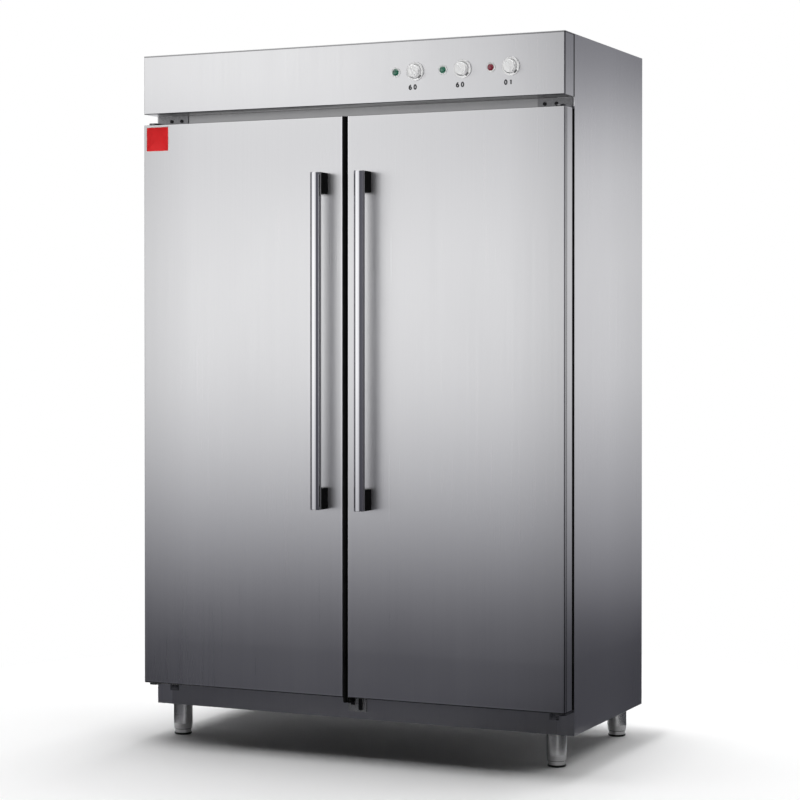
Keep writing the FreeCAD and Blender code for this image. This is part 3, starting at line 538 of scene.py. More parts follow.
# Painted shadow along the doors' lower edge, painted highlights along their upper edge and just above the
# lower one.
band(door_steel, "Z", middle=door_low.z + 1.6 * MM, half=1.4 * MM, level=0.2)
band(door_steel, "Z", middle=door_high.z - 1.6 * MM, half=1.4 * MM, level=1.12)
band(door_steel, "Z", middle=door_low.z + 4.8 * MM, half=1.2 * MM, level=1.15)
dress(door_steel, "left_door_skin", "right_door_skin")
dress(header_steel, "header_panel")

liner_steel = brushed_steel("liner_steel", UPRIGHT, (0.27, 0.34), (0.66, 0.663, 0.667), (0.64, 0.643, 0.647))
dress(liner_steel, "liner_side_left", "liner_side_right", "liner_back", "centre_partition", "fan_guards",
      "left_door_inner_panel", "right_door_inner_panel")

flat_liner = brushed_steel("flat_liner", ACROSS, (0.22, 0.32), (0.64, 0.645, 0.65), (0.58, 0.585, 0.59), "X")
dress(flat_liner, "liner_floor", "liner_ceiling", "drip_trays", "shelf_ledges")
print("doors, header and liners done")

# %% [markdown]
# ## Bright metal
# The handle bars are polished tube, so they mirror the room in upright bands. The wire shelves are polished
# wire, a little dull from washing. The feet are turned on a lathe: their marks run round, and noise that is
# thin in Z and very long across gives rings.

# %% Bright metal
FOOT_PAD_TOP = 5 * MM
FOOT_JOINT = 15.3 * MM
FEET = [f"{end}_{side}_foot_insert" for end in ("front", "rear") for side in SIDES]


def mottled(name, metal, rough, dark, light, size, detail, relief=0, **settings):
    """A finish whose colour and gloss, and relief if it has any, all follow one noise."""
    material = finish(name, light, metal, sum(rough) / 2, **settings)
    pattern = noise(material, size, detail)
    roughened(material, pattern, *rough)
    coloured(material, pattern, dark, light)
    if relief:
        raised(material, pattern, relief)
    return material


# Painted shade: the near-black specular tint darkens the tubes' rims.
polished = mottled("polished_tube", 1.0, (0.05, 0.10), (0.77, 0.77, 0.78), (0.82, 0.82, 0.83),
                   (0.0012, 0.0012, 0.2), detail=2, Specular_Tint=(0.03, 0.03, 0.03, 1))
dress(polished, "left_door_handle_bar", "right_door_handle_bar")

wire = mottled("polished_wire", 1.0, (0.10, 0.24), (0.68, 0.68, 0.69), (0.78, 0.78, 0.79),
               (0.02,) * 3, detail=5)
dress(wire, "left_wire_shelves", "right_wire_shelves")

lathe_steel = finish("turned_steel", (0.42, 0.42, 0.425), 0.85, 0.25)
rings = noise(lathe_steel, (0.4, 0.4, 0.0007), detail=3)
roughened(lathe_steel, rings, 0.22, 0.27)
smudged = mixed(lathe_steel, rings, noise(lathe_steel, (0.03,) * 3, detail=4), share=0.4)
coloured(lathe_steel, smudged, (0.40, 0.40, 0.405), (0.45, 0.45, 0.455))
raised(lathe_steel, rings, height=0.000006)
toned(lathe_steel, "Z", (0.03, 1.0), start=FOOT_PAD_TOP, stop=FOOT_PAD_TOP + 1 * MM)
# Painted shade in the groove where each foot's sleeve meets its insert.
band(lathe_steel, "Z", middle=FOOT_JOINT, half=0.7 * MM, level=0.15)
dress(lathe_steel, "foot_sleeves", *FEET)
print("handle bars, shelves and feet done")

# %% [markdown]
# ## Hinges, screws, heaters and fans
# The hinges are plated and cloudy, their screws blackened. The sheaths of the heaters have gone brown from
# heat, more in some places than in others. The fans are plain aluminium.

# %% Hinges, screws, heaters and fans
CATCH_PLATE_FACE = body_face - 5 * MM
HINGES = [f"{level}_{side}_hinge" for level in ("upper", "lower") for side in SIDES]

plated = mottled("zinc_plate", 1.0, (0.26, 0.44), (0.16, 0.16, 0.165), (0.25, 0.25, 0.255),
                 (0.006,) * 3, detail=5, relief=0.00003)
dress(plated, *HINGES)

catch_steel = mottled("catch_steel", 0.6, (0.24, 0.40), (0.26, 0.26, 0.265), (0.33, 0.33, 0.335),
                      (0.004,) * 3, detail=4)
toned(catch_steel, "Y", (0.03, 1.0), start=CATCH_PLATE_FACE - 0.2 * MM, stop=CATCH_PLATE_FACE)
dress(catch_steel, "door_catch")

black_screw = mottled("blackened_screw", 1.0, (0.30, 0.50), (0.016, 0.016, 0.017), (0.035, 0.035, 0.037),
                      (0.002,) * 3, detail=3)
toned(black_screw, "Z", (5.0, 1.0), start=0.5, stop=0.6)
dress(black_screw, "hinge_screws")

screw_steel = mottled("screw_steel", 1.0, (0.22, 0.38), (0.46, 0.46, 0.47), (0.62, 0.62, 0.63),
                      (0.0012,) * 3, detail=4)

sheath = finish("heater_sheath", (0.16, 0.145, 0.14), 1.0, 0.45)
heat_bands = noise(sheath, (0.09, 0.05, 0.05), detail=4)
coloured(sheath, heat_bands, (0.10, 0.085, 0.10), (0.24, 0.205, 0.17))
roughened(sheath, noise(sheath, (0.004,) * 3, detail=3), 0.38, 0.58)
dress(sheath, "heating_elements")

fan_metal = mottled("fan_aluminium", 1.0, (0.30, 0.46), (0.55, 0.555, 0.56), (0.66, 0.665, 0.67),
                    (0.003, 0.05, 0.02), detail=3)
dress(fan_metal, "left_fan_impeller", "right_fan_impeller")
print("hinges, screws, heaters and fans done")

# %% [markdown]
# ## Plastic, rubber, paint and wool
# Moulded plastic has a faint spark-eroded texture, rubber is duller and takes dust, motor paint has orange
# peel, and rock wool is a tangle of fibres in brown and yellow-green.

# %% Plastic, rubber, paint and wool
def moulded(name, dark, light, rough, texture, height, **settings):
    """A non-metal whose colour, gloss and relief all follow one even noise of `texture` metres."""
    material = finish(name, light, 0.0, sum(rough) / 2, **settings)
    grain = noise(material, (texture,) * 3, detail=3)
    broad = noise(material, (texture * 40,) * 3, detail=3)
    coloured(material, mixed(material, grain, broad, share=0.5), dark, light)
    roughened(material, mixed(material, grain, broad, share=0.4), *rough)
    raised(material, grain, height)
    return material


post_black = moulded("post_black", (0.002, 0.002, 0.0022), (0.005, 0.005, 0.0052), (0.45, 0.6),
                     0.0006, 0.00003, Specular_IOR_Level=0.04)
bezel_pale = moulded("bezel_pale", (0.74, 0.76, 0.75), (0.84, 0.86, 0.85), (0.22, 0.34), 0.0008, 0.00002)
dial_ink = moulded("dial_ink", (0.018, 0.018, 0.02), (0.035, 0.035, 0.038), (0.45, 0.6), 0.0004, 0.00001)
# The next two greys are painted shade on the knobs: a ring at the foot of each cap, a mark on each skirt.
painted_groove_shade = moulded("painted_groove_shade", (0.34, 0.34, 0.345), (0.42, 0.42, 0.425), (0.5, 0.65), 0.0005, 0.00001)
pointer_shade_grey = moulded("pointer_shade_grey", (0.12, 0.12, 0.123), (0.17, 0.17, 0.173), (0.4, 0.55), 0.0005, 0.00001)
label_red = moulded("label_red", (0.78, 0.018, 0.022), (0.86, 0.026, 0.03), (0.30, 0.42), 0.0009, 0.00001,
                    Specular_IOR_Level=0.15)
label_pale = moulded("label_pale", (0.72, 0.70, 0.68), (0.82, 0.80, 0.78), (0.35, 0.48), 0.0009, 0.00001)
rubber = moulded("seal_rubber", (0.004,) * 3, (0.010, 0.010, 0.0105), (0.55, 0.75), 0.0009, 0.00005,
                 Specular_IOR_Level=0.12)
knob_white = moulded("knob_white", (0.88, 0.88, 0.88), (0.92, 0.92, 0.92), (0.18, 0.28), 0.0008, 0.00001,
                     Coat_Weight=0.4, Coat_Roughness=0.08)
motor_paint = moulded("motor_paint", (0.06, 0.065, 0.07), (0.10, 0.105, 0.11), (0.30, 0.45), 0.0016, 0.00006)
switch_grey = moulded("switch_grey", (0.045, 0.045, 0.05), (0.07, 0.07, 0.075), (0.40, 0.55), 0.0007, 0.00004)
gland_black = moulded("gland_black", (0.014,) * 3, (0.026,) * 3, (0.38, 0.52), 0.0006, 0.00003)
wool = moulded("rock_wool", (0.17, 0.14, 0.06), (0.42, 0.37, 0.20), (0.90, 0.98), 0.0022, 0.0008)
dress(post_black, "left_door_handle_posts", "right_door_handle_posts")
dress(rubber, "left_door_gasket", "right_door_gasket", "left_door_edge_seal", "right_door_edge_seal")
dress(knob_white, *(f"{name}_knob" for name in KNOBS))
dress(motor_paint, "fan_motors")
dress(switch_grey, "left_chamber_timer", "right_chamber_timer", "power_switch", "control_box")
dress(gland_black, "cable_gland")
dress(wool, "cabinet_insulation", "left_door_insulation", "right_door_insulation")
print("plastic, rubber, paint and wool done")

# %% [markdown]
# ## Lamp lenses
# A lamp's lens is coloured plastic with small cells in it that catch the light. Its colour goes from deep to
# bright with the cells, under a glossy clear coat. The lamps aren't lit, so nothing shines out of them.

# %% Lamp lenses
def lens_finish(name, deep, bright):
    """Coloured lens: deep colour with brighter cells, glossy under a clear coat."""
    return mottled(name, 0.0, (0.08, 0.18), deep, bright, (0.0016,) * 3, detail=1, relief=0.00012,
                   Coat_Weight=1.0, Coat_Roughness=0.03, IOR=1.5)


green_lens = lens_finish("green_lens", (0.008, 0.085, 0.050), (0.022, 0.19, 0.11))
red_lens = lens_finish("red_lens", (0.15, 0.006, 0.018), (0.27, 0.015, 0.04))
dress(green_lens, "left_chamber_lamp", "right_chamber_lamp")
dress(red_lens, "power_lamp")
print("three lenses done")

# %% [markdown]
# ## Door seals
# Behind each door a rubber gasket with a foot, a neck and a soft bulb closes against the cabinet. Between the
# doors each one carries a ribbed strip whose lower end is rounded off. The model has plain bars there, so
# these two replace them.

# %% Gaskets and edge strips
GASKET_HALF = 8 * MM
RIBS = 3
RIB_FLOOR = 0.7
RIB_POINTS = 49
END_CURVE = 9 * MM
END_LOOPS = 9


def gasket_section():
    """Bulb and foot in one outline: an ellipse cut off where the neck meets it, then a flat foot below."""
    sweep = np.radians(np.linspace(-65, 245, 25))
    bulb = np.stack([7.6 * np.cos(sweep), 11.8 + 5.9 * np.sin(sweep)], -1)
    foot = [(-3.0, 4.4), (-4.4, 3.2), (-8.0, 2.4), (-8.0, 0.0),
            (8.0, 0.0), (8.0, 2.4), (4.4, 3.2), (3.0, 4.4)]
    return np.vstack([bulb, foot]) * MM


def gasket(side):
    """The gasket's outline carried round the middle line of the plain bar that it stands for."""
    low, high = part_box(f"{side}_door_gasket")
    middle_low = (low.x + GASKET_HALF, low.z + GASKET_HALF)
    middle_high = (high.x - GASKET_HALF, high.z - GASKET_HALF)
    seal = framed(middle_low, middle_high, gasket_section(), low.y)
    piece = solid(f"{side}_door_gasket_bulb", [seal], f"{side}_door", rubber, crisp=50)
    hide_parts(f"{side}_door_gasket")


def edge_seal(side):
    """Three ribs side by side: the strip's height is its ends' rounding times a cosine with three crests.
    Near the bottom every loop is drawn in to its middle along a quarter circle, which rounds the end."""
    low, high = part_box(f"{side}_door_edge_seal")
    sign = side_sign(side)
    root = high.x if sign > 0 else low.x
    share = np.linspace(0, 1, RIB_POINTS)
    crest = 0.5 - 0.5 * np.cos(2 * RIBS * np.pi * share)
    ends = (1 - (2 * share - 1) ** 8) ** 0.5
    out = (high.x - low.x) * ends * (RIB_FLOOR + (1 - RIB_FLOOR) * crest)
    across = np.concatenate([root - sign * out, [root, root]])
    deep = np.concatenate([low.y + share * (high.y - low.y), [high.y, low.y]])
    middle = (low.y + high.y) / 2
    turn = np.linspace(0, np.pi / 2, END_LOOPS)
    heights = np.append(low.z + END_CURVE * (1 - np.cos(turn)), high.z)
    drawn = np.append(1 - END_CURVE / (high.y - middle) * (1 - np.sin(turn)), 1.0)
    across, heights = np.meshgrid(across, heights)
    loops = np.stack([across, middle + drawn[:, None] * (deep - middle), heights], -1)
    piece = solid(f"{side}_door_edge_strip", [skin(loops)], f"{side}_door", rubber, crisp=60)
    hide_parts(f"{side}_door_edge_seal")


print("gasket and edge strip ready to be made")

# %% [markdown]
# ## Sealant and gap shade strips
# A thin line of sealant fills the joint where the door's outer tray meets its rim. A flat black rubber strip
# up each edge of the cabinet's face is painted shade: it darkens the gap beside a closed door.

# %% All four seals on both sides
SEALANT = np.array([(-0.65, 12.1), (-0.12, 12.1), (-0.12, 15.9), (-0.65, 15.9)]) * MM
STRIP_HALF = 5 * MM
STRIP_INSET = 5.5 * MM


def joint_sealant(side):
    """A flat bead that fills the sunk joint round the door's rim, just under the sheet's surface."""
    low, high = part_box(f"{side}_door_skin")
    run = framed((low.x, low.z), (high.x, high.z), SEALANT, low.y)
    solid(f"{side}_door_joint_sealant", [run], f"{side}_door", rubber)


def gap_shade_strip(side):
    """A thin black rubber strip up the edge of the cabinet's face: painted shade in the gap beside the closed
    door.
    """
    low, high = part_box(f"{side}_door_skin")
    middle = (side_sign(side) * (half_width - STRIP_INSET), body_face, (low.z + high.z) / 2)
    steps = [(0, -0.1 * MM), (0, 1.0 * MM), (0.6 * MM, 1.6 * MM)]
    run = plate(middle, TO_FRONT, STRIP_HALF, (high.z - low.z) / 2, 1.2 * MM, steps)
    solid(f"{side}_gap_shade_strip", [run], "cabinet", rubber)


for side in SIDES:
    gasket(side)
    edge_seal(side)
    joint_sealant(side)
    gap_shade_strip(side)
print("gaskets, edge strips, sealant and contact strips on both sides")

# %% [markdown]
# ## Strokes and figures
# A printed number is a stroke: a line with a width, drawn through points on an ellipse or on a curve, a
# seventh of a millimetre thick. Blender's own text would bring a typeface, and three figures are quickly
# drawn.

# %% Strokes and figures
PRINT_THICK = 0.14 * MM
LINE_SHARE = 0.145


def stroke(points, half_width, face, thick, closed=False):
    """A line in the XZ plane as a flat ribbon: each point moved to both sides at right angles to the line."""
    points = np.asarray(points, float)
    if closed:
        ahead = np.roll(points, -1, 0) - np.roll(points, 1, 0)
    else:
        ahead = np.gradient(points, axis=0)
    ahead /= np.linalg.norm(ahead, axis=1, keepdims=True)
    beside = np.stack([-ahead[:, 1], ahead[:, 0]], -1) * half_width
    left, right = points + beside, points - beside
    loops = [np.insert(edge, 1, level, axis=1)
             for edge, level in ((left, face), (right, face), (right, face - thick), (left, face - thick))]
    return skin(np.stack(loops, 1), ring=closed)


def ellipse(middle, half_wide, half_high, points=28):
    """Points on an ellipse: the middle plus half the width times cosine, half the height times sine."""
    sweep = np.linspace(0, 2 * np.pi, points, endpoint=False)
    return np.stack([middle[0] + half_wide * np.cos(sweep), middle[1] + half_high * np.sin(sweep)], -1)


def figure(number, corner, high, face):
    """One figure, 0, 1 or 6, of a given height with its lower left corner at a place. The rise of the 6 is a
    curve from start to stop that is drawn towards bend: weights (1 - s)^2, 2 s (1 - s) and s^2."""
    weight = LINE_SHARE * high
    if number == "0":
        lines = [(ellipse((0.30, 0.5), 0.24, 0.44), True)]
    elif number == "1":
        lines = [(np.array([(0.14, 0.76), (0.24, 0.83), (0.34, 0.93), (0.34, 0.5), (0.34, 0.04)]), False)]
    else:
        share = np.linspace(0, 1, 12)[:, None]
        start, bend, stop = np.array([(0.06, 0.34), (0.07, 0.78), (0.47, 0.93)])
        rise = (1 - share) ** 2 * start + 2 * share * (1 - share) * bend + share ** 2 * stop
        lines = [(ellipse((0.30, 0.30), 0.24, 0.25), True), (rise, False)]
    corner = np.asarray(corner)
    return [stroke(corner + high * line, weight, face, PRINT_THICK, closed) for line, closed in lines]


print("strokes", PRINT_THICK / MM, "mm thick, their half width", LINE_SHARE, "of a figure's height")

# %% [markdown]
# ## Knob pointers, painted shade and dial numbers
# A grey mark on each knob's skirt turns with the knob like a pointer, and stands at the lower right, where
# its grey is also painted shade of the cap. A thin grey ring round the foot of each cap is painted shade in
# the crease.
# Under the timers the fascia is printed with the number of minutes, 60, and under the switch with 0 and 1.

# %% Knob pointers and dial numbers
FIGURE_HIGH = 12 * MM
FIGURE_GAP = 13.5 * MM
NUMBER_DOWN = 45 * MM
NUMBER_LEFT = 17 * MM
POINTER_REACH = (16.9 * MM, 22 * MM)
POINTER_HALF = 5 * MM
SKIRT_FACE = header_face - 4.05 * MM
GROOVE = np.array([(16.3, 3.6), (18.3, 3.6), (18.3, 4.12), (16.3, 4.12)]) * MM
DIALS = {"left_chamber": "60", "right_chamber": "60", "power": "01"}

printed = []
for name, text in DIALS.items():
    middle, height = middle_of(f"{name}_knob")
    for place, number in enumerate(text):
        left = middle - NUMBER_LEFT + place * FIGURE_GAP
        printed += figure(number, (left, height - NUMBER_DOWN), FIGURE_HIGH, header_face)
    way = np.array([1.0, -1.0]) / math.sqrt(2)
    reach = np.linspace(*POINTER_REACH, 4)[:, None]
    line = stroke(np.array([middle, height]) + reach * way, POINTER_HALF, SKIRT_FACE, PRINT_THICK)
    ring = turned((middle, header_face, height), TO_FRONT, GROOVE, ring=True)
    # Painted shade: the pointer's grey stands for the cap's shade on the skirt, the grey ring for the shade
    # round the cap's foot.
    solid(f"{name}_knob_pointer_shade", [line], f"{name}_knob", pointer_shade_grey)
    solid(f"{name}_knob_groove_shade", [ring], f"{name}_knob", painted_groove_shade)
solid("dial_numbers", printed, "cabinet", dial_ink)
print("pointers and numbers at", len(DIALS), "knobs")

# %% [markdown]
# ## Lamps and the red label
# Each lamp gets a pale ring and a domed lens that sits in it. The label on the left door is a plain red plate
# with a pale border and nothing on it.

# %% Lamps and label
BEZEL = np.array([(8.6, 0.1), (12.2, 0.1), (12.2, 0.9), (11.5, 1.9), (9.6, 2.5), (8.6, 2.2)]) * MM
LENS_DOME = np.array([(8.6, 0.4), (8.6, 2.0), (8.3, 3.4), (7.4, 4.9),
                      (5.8, 6.1), (3.8, 6.9), (1.6, 7.3)]) * MM
LABEL_FROM_SIDE = 42 * MM
LABEL_FROM_TOP = 38.5 * MM
LABEL_HALF = (35 * MM, 33.5 * MM)
LABEL_BORDER = 2 * MM
LABEL_CORNER = 3 * MM

for name in KNOBS:
    middle, height = middle_of(f"{name}_lamp")
    seat = (middle, header_face, height)
    lens, slot = (red_lens, "red_lens") if name == "power" else (green_lens, "green_lens")
    bezel = turned(seat, TO_FRONT, BEZEL, ring=True)
    dome = turned(seat, TO_FRONT, LENS_DOME)
    solid(f"{name}_lamp_bezel", [bezel], "cabinet", bezel_pale)
    solid(f"{name}_lamp_lens", [dome], "cabinet", lens, crisp=50)

label_middle = (door_left_low.x + LABEL_FROM_SIDE, door_face, door_left_high.z - LABEL_FROM_TOP)
border = plate(label_middle, TO_FRONT, *LABEL_HALF, LABEL_CORNER,
               [(0, 0), (0, 0.25 * MM), (0.1 * MM, 0.3 * MM)])
field_half = [half - LABEL_BORDER for half in LABEL_HALF]
field = plate(label_middle, TO_FRONT, *field_half, LABEL_CORNER - 1 * MM,
              [(0, 0.25 * MM), (0, 0.4 * MM), (0.1 * MM, 0.45 * MM)])
solid("red_label_border", [border], "left_door", label_pale)
solid("red_label_field", [field], "left_door", label_red)
print("three lamps and one bare label")

# %% [markdown]
# ## Screws
# Pan-head screws hold the rear sheet, the liner, the fan guards and the inner sheets of the doors. A head is
# turned from a few points, with a driving recess in its middle, and a whole row of heads is one piece.

# %% Screw heads, and those of the rear sheet
HEAD = np.array([(4.6, 0.0), (4.6, 0.8), (4.0, 1.7), (2.9, 2.2), (1.9, 2.3), (1.7, 1.2)]) * MM
REAR_INSET = 11 * MM


def screws(name, places, axis, body):
    """One piece with a head at each place."""
    solid(name, [turned(place, axis, HEAD, columns=18) for place in places], body, screw_steel)


def round_edge(low, high, inset, columns, rows):
    """Places along the edges of an upright rectangle: `columns` along top and bottom, `rows` up the sides."""
    left, right = low[0] + inset, high[0] - inset
    bottom, top = low[1] + inset, high[1] - inset
    along = [(x, z) for x in np.linspace(left, right, columns) for z in (bottom, top)]
    up = [(x, z) for z in np.linspace(bottom, top, rows)[1:-1] for x in (left, right)]
    return along + up


edge = round_edge((rear_low.x, rear_low.z), (rear_high.x, rear_high.z), REAR_INSET, columns=8, rows=11)
screws("rear_panel_screws", [(x, rear_face, z) for x, z in edge], TO_BACK, "cabinet")
print("rear sheet:", len(edge), "screws")

# %% [markdown]
# ## Inside the doors and the chambers
# Two pressed beads, low round ridges carried round a rectangle, stiffen the inner sheet of each door. Screws
# hold that sheet round its edge, and the liner's side along its front and back.

# %% Beads and screws of the doors and liners
DOOR_INSET = 22 * MM
LINER_INSET = 30 * MM
LINER_ROWS = np.linspace(0.26, 1.54, 6)
BEAD_MARGIN = 70 * MM
RIDGE = np.array([(-7, 0.0), (-5, 1.1), (-2.5, 2.0), (0, 2.3),
                  (2.5, 2.0), (5, 1.1), (7, 0.0), (0, -0.2)]) * MM

for side in SIDES:
    low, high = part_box(f"{side}_door_inner_panel")
    seal_low, seal_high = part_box(f"{side}_door_gasket")
    seal_wide = 2 * GASKET_HALF
    inside_low = (seal_low.x + seal_wide, seal_low.z + seal_wide)
    inside_high = (seal_high.x - seal_wide, seal_high.z - seal_wide)
    edge = round_edge(inside_low, inside_high, DOOR_INSET, columns=4, rows=8)
    screws(f"{side}_door_inner_screws", [(x, high.y, z) for x, z in edge], TO_BACK, f"{side}_door")
    half = (inside_high[1] - inside_low[1]) / 2
    for level in range(2):
        start = inside_low[1] + level * half
        bead_low = (inside_low[0] + BEAD_MARGIN, start + BEAD_MARGIN)
        bead_high = (inside_high[0] - BEAD_MARGIN, start + half - BEAD_MARGIN)
        bead = framed(bead_low, bead_high, RIDGE, high.y)
        name = f"{side}_door_inner_bead_{level + 1}"
        solid(name, [bead], f"{side}_door", liner_steel, crisp=50)

    liner_low, liner_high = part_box(f"liner_side_{side}")
    wall_x = liner_low.x if side == "right" else liner_high.x
    front_and_back = (body_face + LINER_INSET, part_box("liner_back")[0].y - LINER_INSET)
    places = [(wall_x, y, z) for z in LINER_ROWS for y in front_and_back]
    screws(f"{side}_liner_screws", places, (-side_sign(side), 0, 0), "cabinet")
print("two beads in each door,", len(places), "screws in each side of the liner")

# %% [markdown]
# ## Fan guards, vents and the gland
# Each fan guard hangs from two screws. The slots in the rear sheet have turned-up rims, and the gland gets
# its six-sided nut: a turned part with only six columns.

# %% Guard screws, vent rims and gland nut
GUARD_SCREW_IN = 20 * MM
GUARD_SCREW_DOWN = 12 * MM
VENT_BANKS = (-230 * MM, 0)
VENT_ROWS = 6
LOWEST_VENT = 1714 * MM
VENT_STEP = 16 * MM
SLOT_HALF = (45 * MM, 4 * MM)
RIM = np.array([(0.0, 0.0), (2.6, 0.0), (2.2, 0.9), (1.2, 1.7), (0.0, 2.0)]) * MM
NUT = np.array([(10.2, 3.9), (14.6, 3.9), (14.6, 6.6), (13.2, 7.7), (10.2, 7.7)]) * MM
NUT_SIDES = 6

guard_low, guard_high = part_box("fan_guards")
guard_long = guard_high.y - guard_low.y
guard_ends = (guard_high.x - GUARD_SCREW_IN, guard_high.x - guard_long + GUARD_SCREW_IN)
screw_z = guard_high.z - GUARD_SCREW_DOWN
fixed = [(sign * x, guard_low.y, screw_z) for sign in (-1, 1) for x in guard_ends]
screws("fan_guard_screws", fixed, TO_FRONT, "cabinet")

rims = []
for bank in VENT_BANKS:
    for row in range(VENT_ROWS):
        middle = (bank, LOWEST_VENT + row * VENT_STEP)
        rims.append(framed(np.subtract(middle, SLOT_HALF), np.add(middle, SLOT_HALF), RIM, rear_face))
solid("rear_vent_rims", rims, "cabinet", case_steel, crisp=50)

middle, height = middle_of("cable_gland")
nut = turned((middle, rear_face, height), TO_BACK, NUT, columns=NUT_SIDES, ring=True)
solid("cable_gland_nut", [nut], "cabinet", gland_black)
print("guard screws:", len(fixed), " vent rims:", len(rims), " one nut")

# %% [markdown]
# ## The floor
# The cabinet stands on a plain pale floor. Near the cabinet it is matt and takes the shadow. Farther out it
# turns into plain white light, so that it meets the sky without an edge.

# %% Floor
FLOOR_REACH = 60.0
FLOOR_LINES = 5
FADE_START = 0.95
FADE_STOP = 1.8


def shows_background(owner):
    """1 for rays from the camera, from gloss and through glass: those see the plain background."""
    ray = add(owner, "ShaderNodeLightPath").outputs
    first = maths(owner, "MAXIMUM", ray["Is Camera Ray"], ray["Is Glossy Ray"])
    return maths(owner, "MAXIMUM", first, ray["Is Transmission Ray"])


def blend_shaders(owner, share, first, second, output):
    """Mix two shaders by a share and send the result to the output node's Surface."""
    blend = add(owner, "ShaderNodeMixShader")
    join(owner, share, blend.inputs["Fac"])
    join(owner, first.outputs[0], blend.inputs[1])
    join(owner, second.outputs[0], blend.inputs[2])
    join(owner, blend.outputs[0], owner.node_tree.nodes[output].inputs["Surface"])


def floor_material():
    """Matt near-white near the object, turning into plain white light farther out, where it meets the sky."""
    material = finish("pale_floor", (0.96, 0.96, 0.96), 0.0, 0.9, Specular_IOR_Level=0.1)
    distance = add(material, "ShaderNodeVectorMath", operation="LENGTH")
    join(material, add(material, "ShaderNodeTexCoord").outputs["Object"], distance.inputs[0])
    far = stepped(material, distance.outputs["Value"], 0, 1, FADE_START, FADE_STOP)
    share = maths(material, "MULTIPLY", far, shows_background(material))
    white = add(material, "ShaderNodeEmission")
    blend_shaders(material, share, shader_of(material), white, "Material Output")
    return material


steps = np.linspace(-FLOOR_REACH, FLOOR_REACH, FLOOR_LINES)
across, along = np.meshgrid(steps, steps)
floor_corners = np.stack([across.ravel(), along.ravel(), np.zeros(across.size)], -1)
floor = keep("floor", floor_corners, grid_faces(FLOOR_LINES, FLOOR_LINES), None, floor_material())
print("floor", 2 * FLOOR_REACH, "m across")

# %% [markdown]
# ## Sky and lamps
# The sky is pale and faint. One lamp above and a little behind the cabinet and one in front light it but
# leave the floor out. The floor has two lamps of its own. In the narrower one everything throws a shadow. The
# wide one is shaded only by the lowest pieces and by an unseen board low in the cabinet, which keeps the
# shadow under it soft. A small lamp lights only the feet.

# %% Sky and lamps
SKY_LIGHT = 0.008
SHADE_HIGH = 0.27
SHADE_PAST_DOORS = 0.09
SHADE_PAST_BACK = 0.12
SHADE_RIGHT = 0.05

world = bpy.data.worlds.new("pale_sky")
world.use_nodes = True
bpy.context.scene.world = world
even = world.node_tree.nodes["Background"]
seen = add(world, "ShaderNodeBackground")
for background, strength in ((even, SKY_LIGHT), (seen, 1.0)):
    background.inputs["Color"].default_value = (1, 1, 1, 1)
    background.inputs["Strength"].default_value = strength
blend_shaders(world, shows_background(world), even, seen, "World Output")


def hide(thing, *rays):
    """Make an object or a lamp unseen to some kinds of ray."""
    for ray in rays:
        setattr(thing, f"visible_{ray}", False)


def soft_lamp(name, place, aim, size, watts):
    """An oblong area lamp that points from its place at its aim and isn't seen itself."""
    data = bpy.data.lights.new(name, "AREA")
    data.shape = "RECTANGLE"
    data.size, data.size_y = size
    data.energy = watts
    lamp = bpy.data.objects.new(name, data)
    lamp.location = place
    way = np.subtract(aim, place)
    across = math.hypot(way[0], way[1])
    turn = math.atan2(way[1], way[0]) - math.pi / 2 if across else 0.0
    lamp.rotation_euler = (math.atan2(across, -way[2]), 0, turn)
    hide(lamp, "camera", "glossy")
    bpy.context.scene.collection.objects.link(lamp)
    return lamp


def linked(name, state, pieces):
    """A collection that includes or excludes its pieces in a lamp's light or shadow."""
    group = bpy.data.collections.new(name)
    for piece in pieces:
        group.objects.link(piece)
    for link in group.collection_objects:
        link.light_linking.link_state = state
    return group


# One board, a little larger than the cabinet, that only shades the floor from the wide lamp.
shade_front, shade_back = door_face - SHADE_PAST_DOORS, rear_face + SHADE_PAST_BACK
shade_left, shade_right = SHADE_RIGHT - half_width, SHADE_RIGHT + half_width
shade_corners = [(shade_left, shade_front, SHADE_HIGH), (shade_right, shade_front, SHADE_HIGH),
                 (shade_right, shade_back, SHADE_HIGH), (shade_left, shade_back, SHADE_HIGH)]
shade = keep("floor_shade", np.array(shade_corners), [(0, 1, 2, 3)], None, floor.data.materials[0])
hide(shade, "camera", "diffuse", "glossy", "transmission")
feet = [nodes[name] for name in ("foot_sleeves", *FEET)]
lowest = [shade, nodes["base_panel"], nodes["bottom_rail"], *feet]
over_lamp = soft_lamp("over_lamp", place=(0, 2.0, 20.0), aim=(0, 2.0, 0), size=(3.2, 5.0), watts=3800)
front_lamp = soft_lamp("front_lamp", place=(1.8, -4.6, 2.6), aim=(0, 0, 1.2), size=(1.6, 1.6), watts=88)
floor_lamp = soft_lamp("floor_lamp", place=(0, 4.0, 12.0), aim=(0, 4.0, 0), size=(24.0, 18.0), watts=2700)
floor_key = soft_lamp("floor_key", place=(0, 4.2, 20.0), aim=(0, 4.2, 0), size=(3.6, 9.0), watts=1180)
foot_lamp = soft_lamp("foot_lamp", place=(2.2, -3.4, 0.45), aim=(0.3, -0.1, 0.08), size=(0.5, 0.7), watts=22)
foot_lamp.visible_glossy = True
foot_lamp.light_linking.receiver_collection = linked("feet", "INCLUDE", feet)
above_floor = linked("above_floor", "EXCLUDE", [floor])
over_lamp.light_linking.receiver_collection = above_floor
front_lamp.light_linking.receiver_collection = above_floor
floor_alone = linked("floor_alone", "INCLUDE", [floor])
floor_key.light_linking.receiver_collection = floor_alone
floor_lamp.light_linking.receiver_collection = floor_alone
floor_lamp.light_linking.blocker_collection = linked("low_pieces", "INCLUDE", lowest)
print("sky and lamps set; the floor has two lamps of its own")

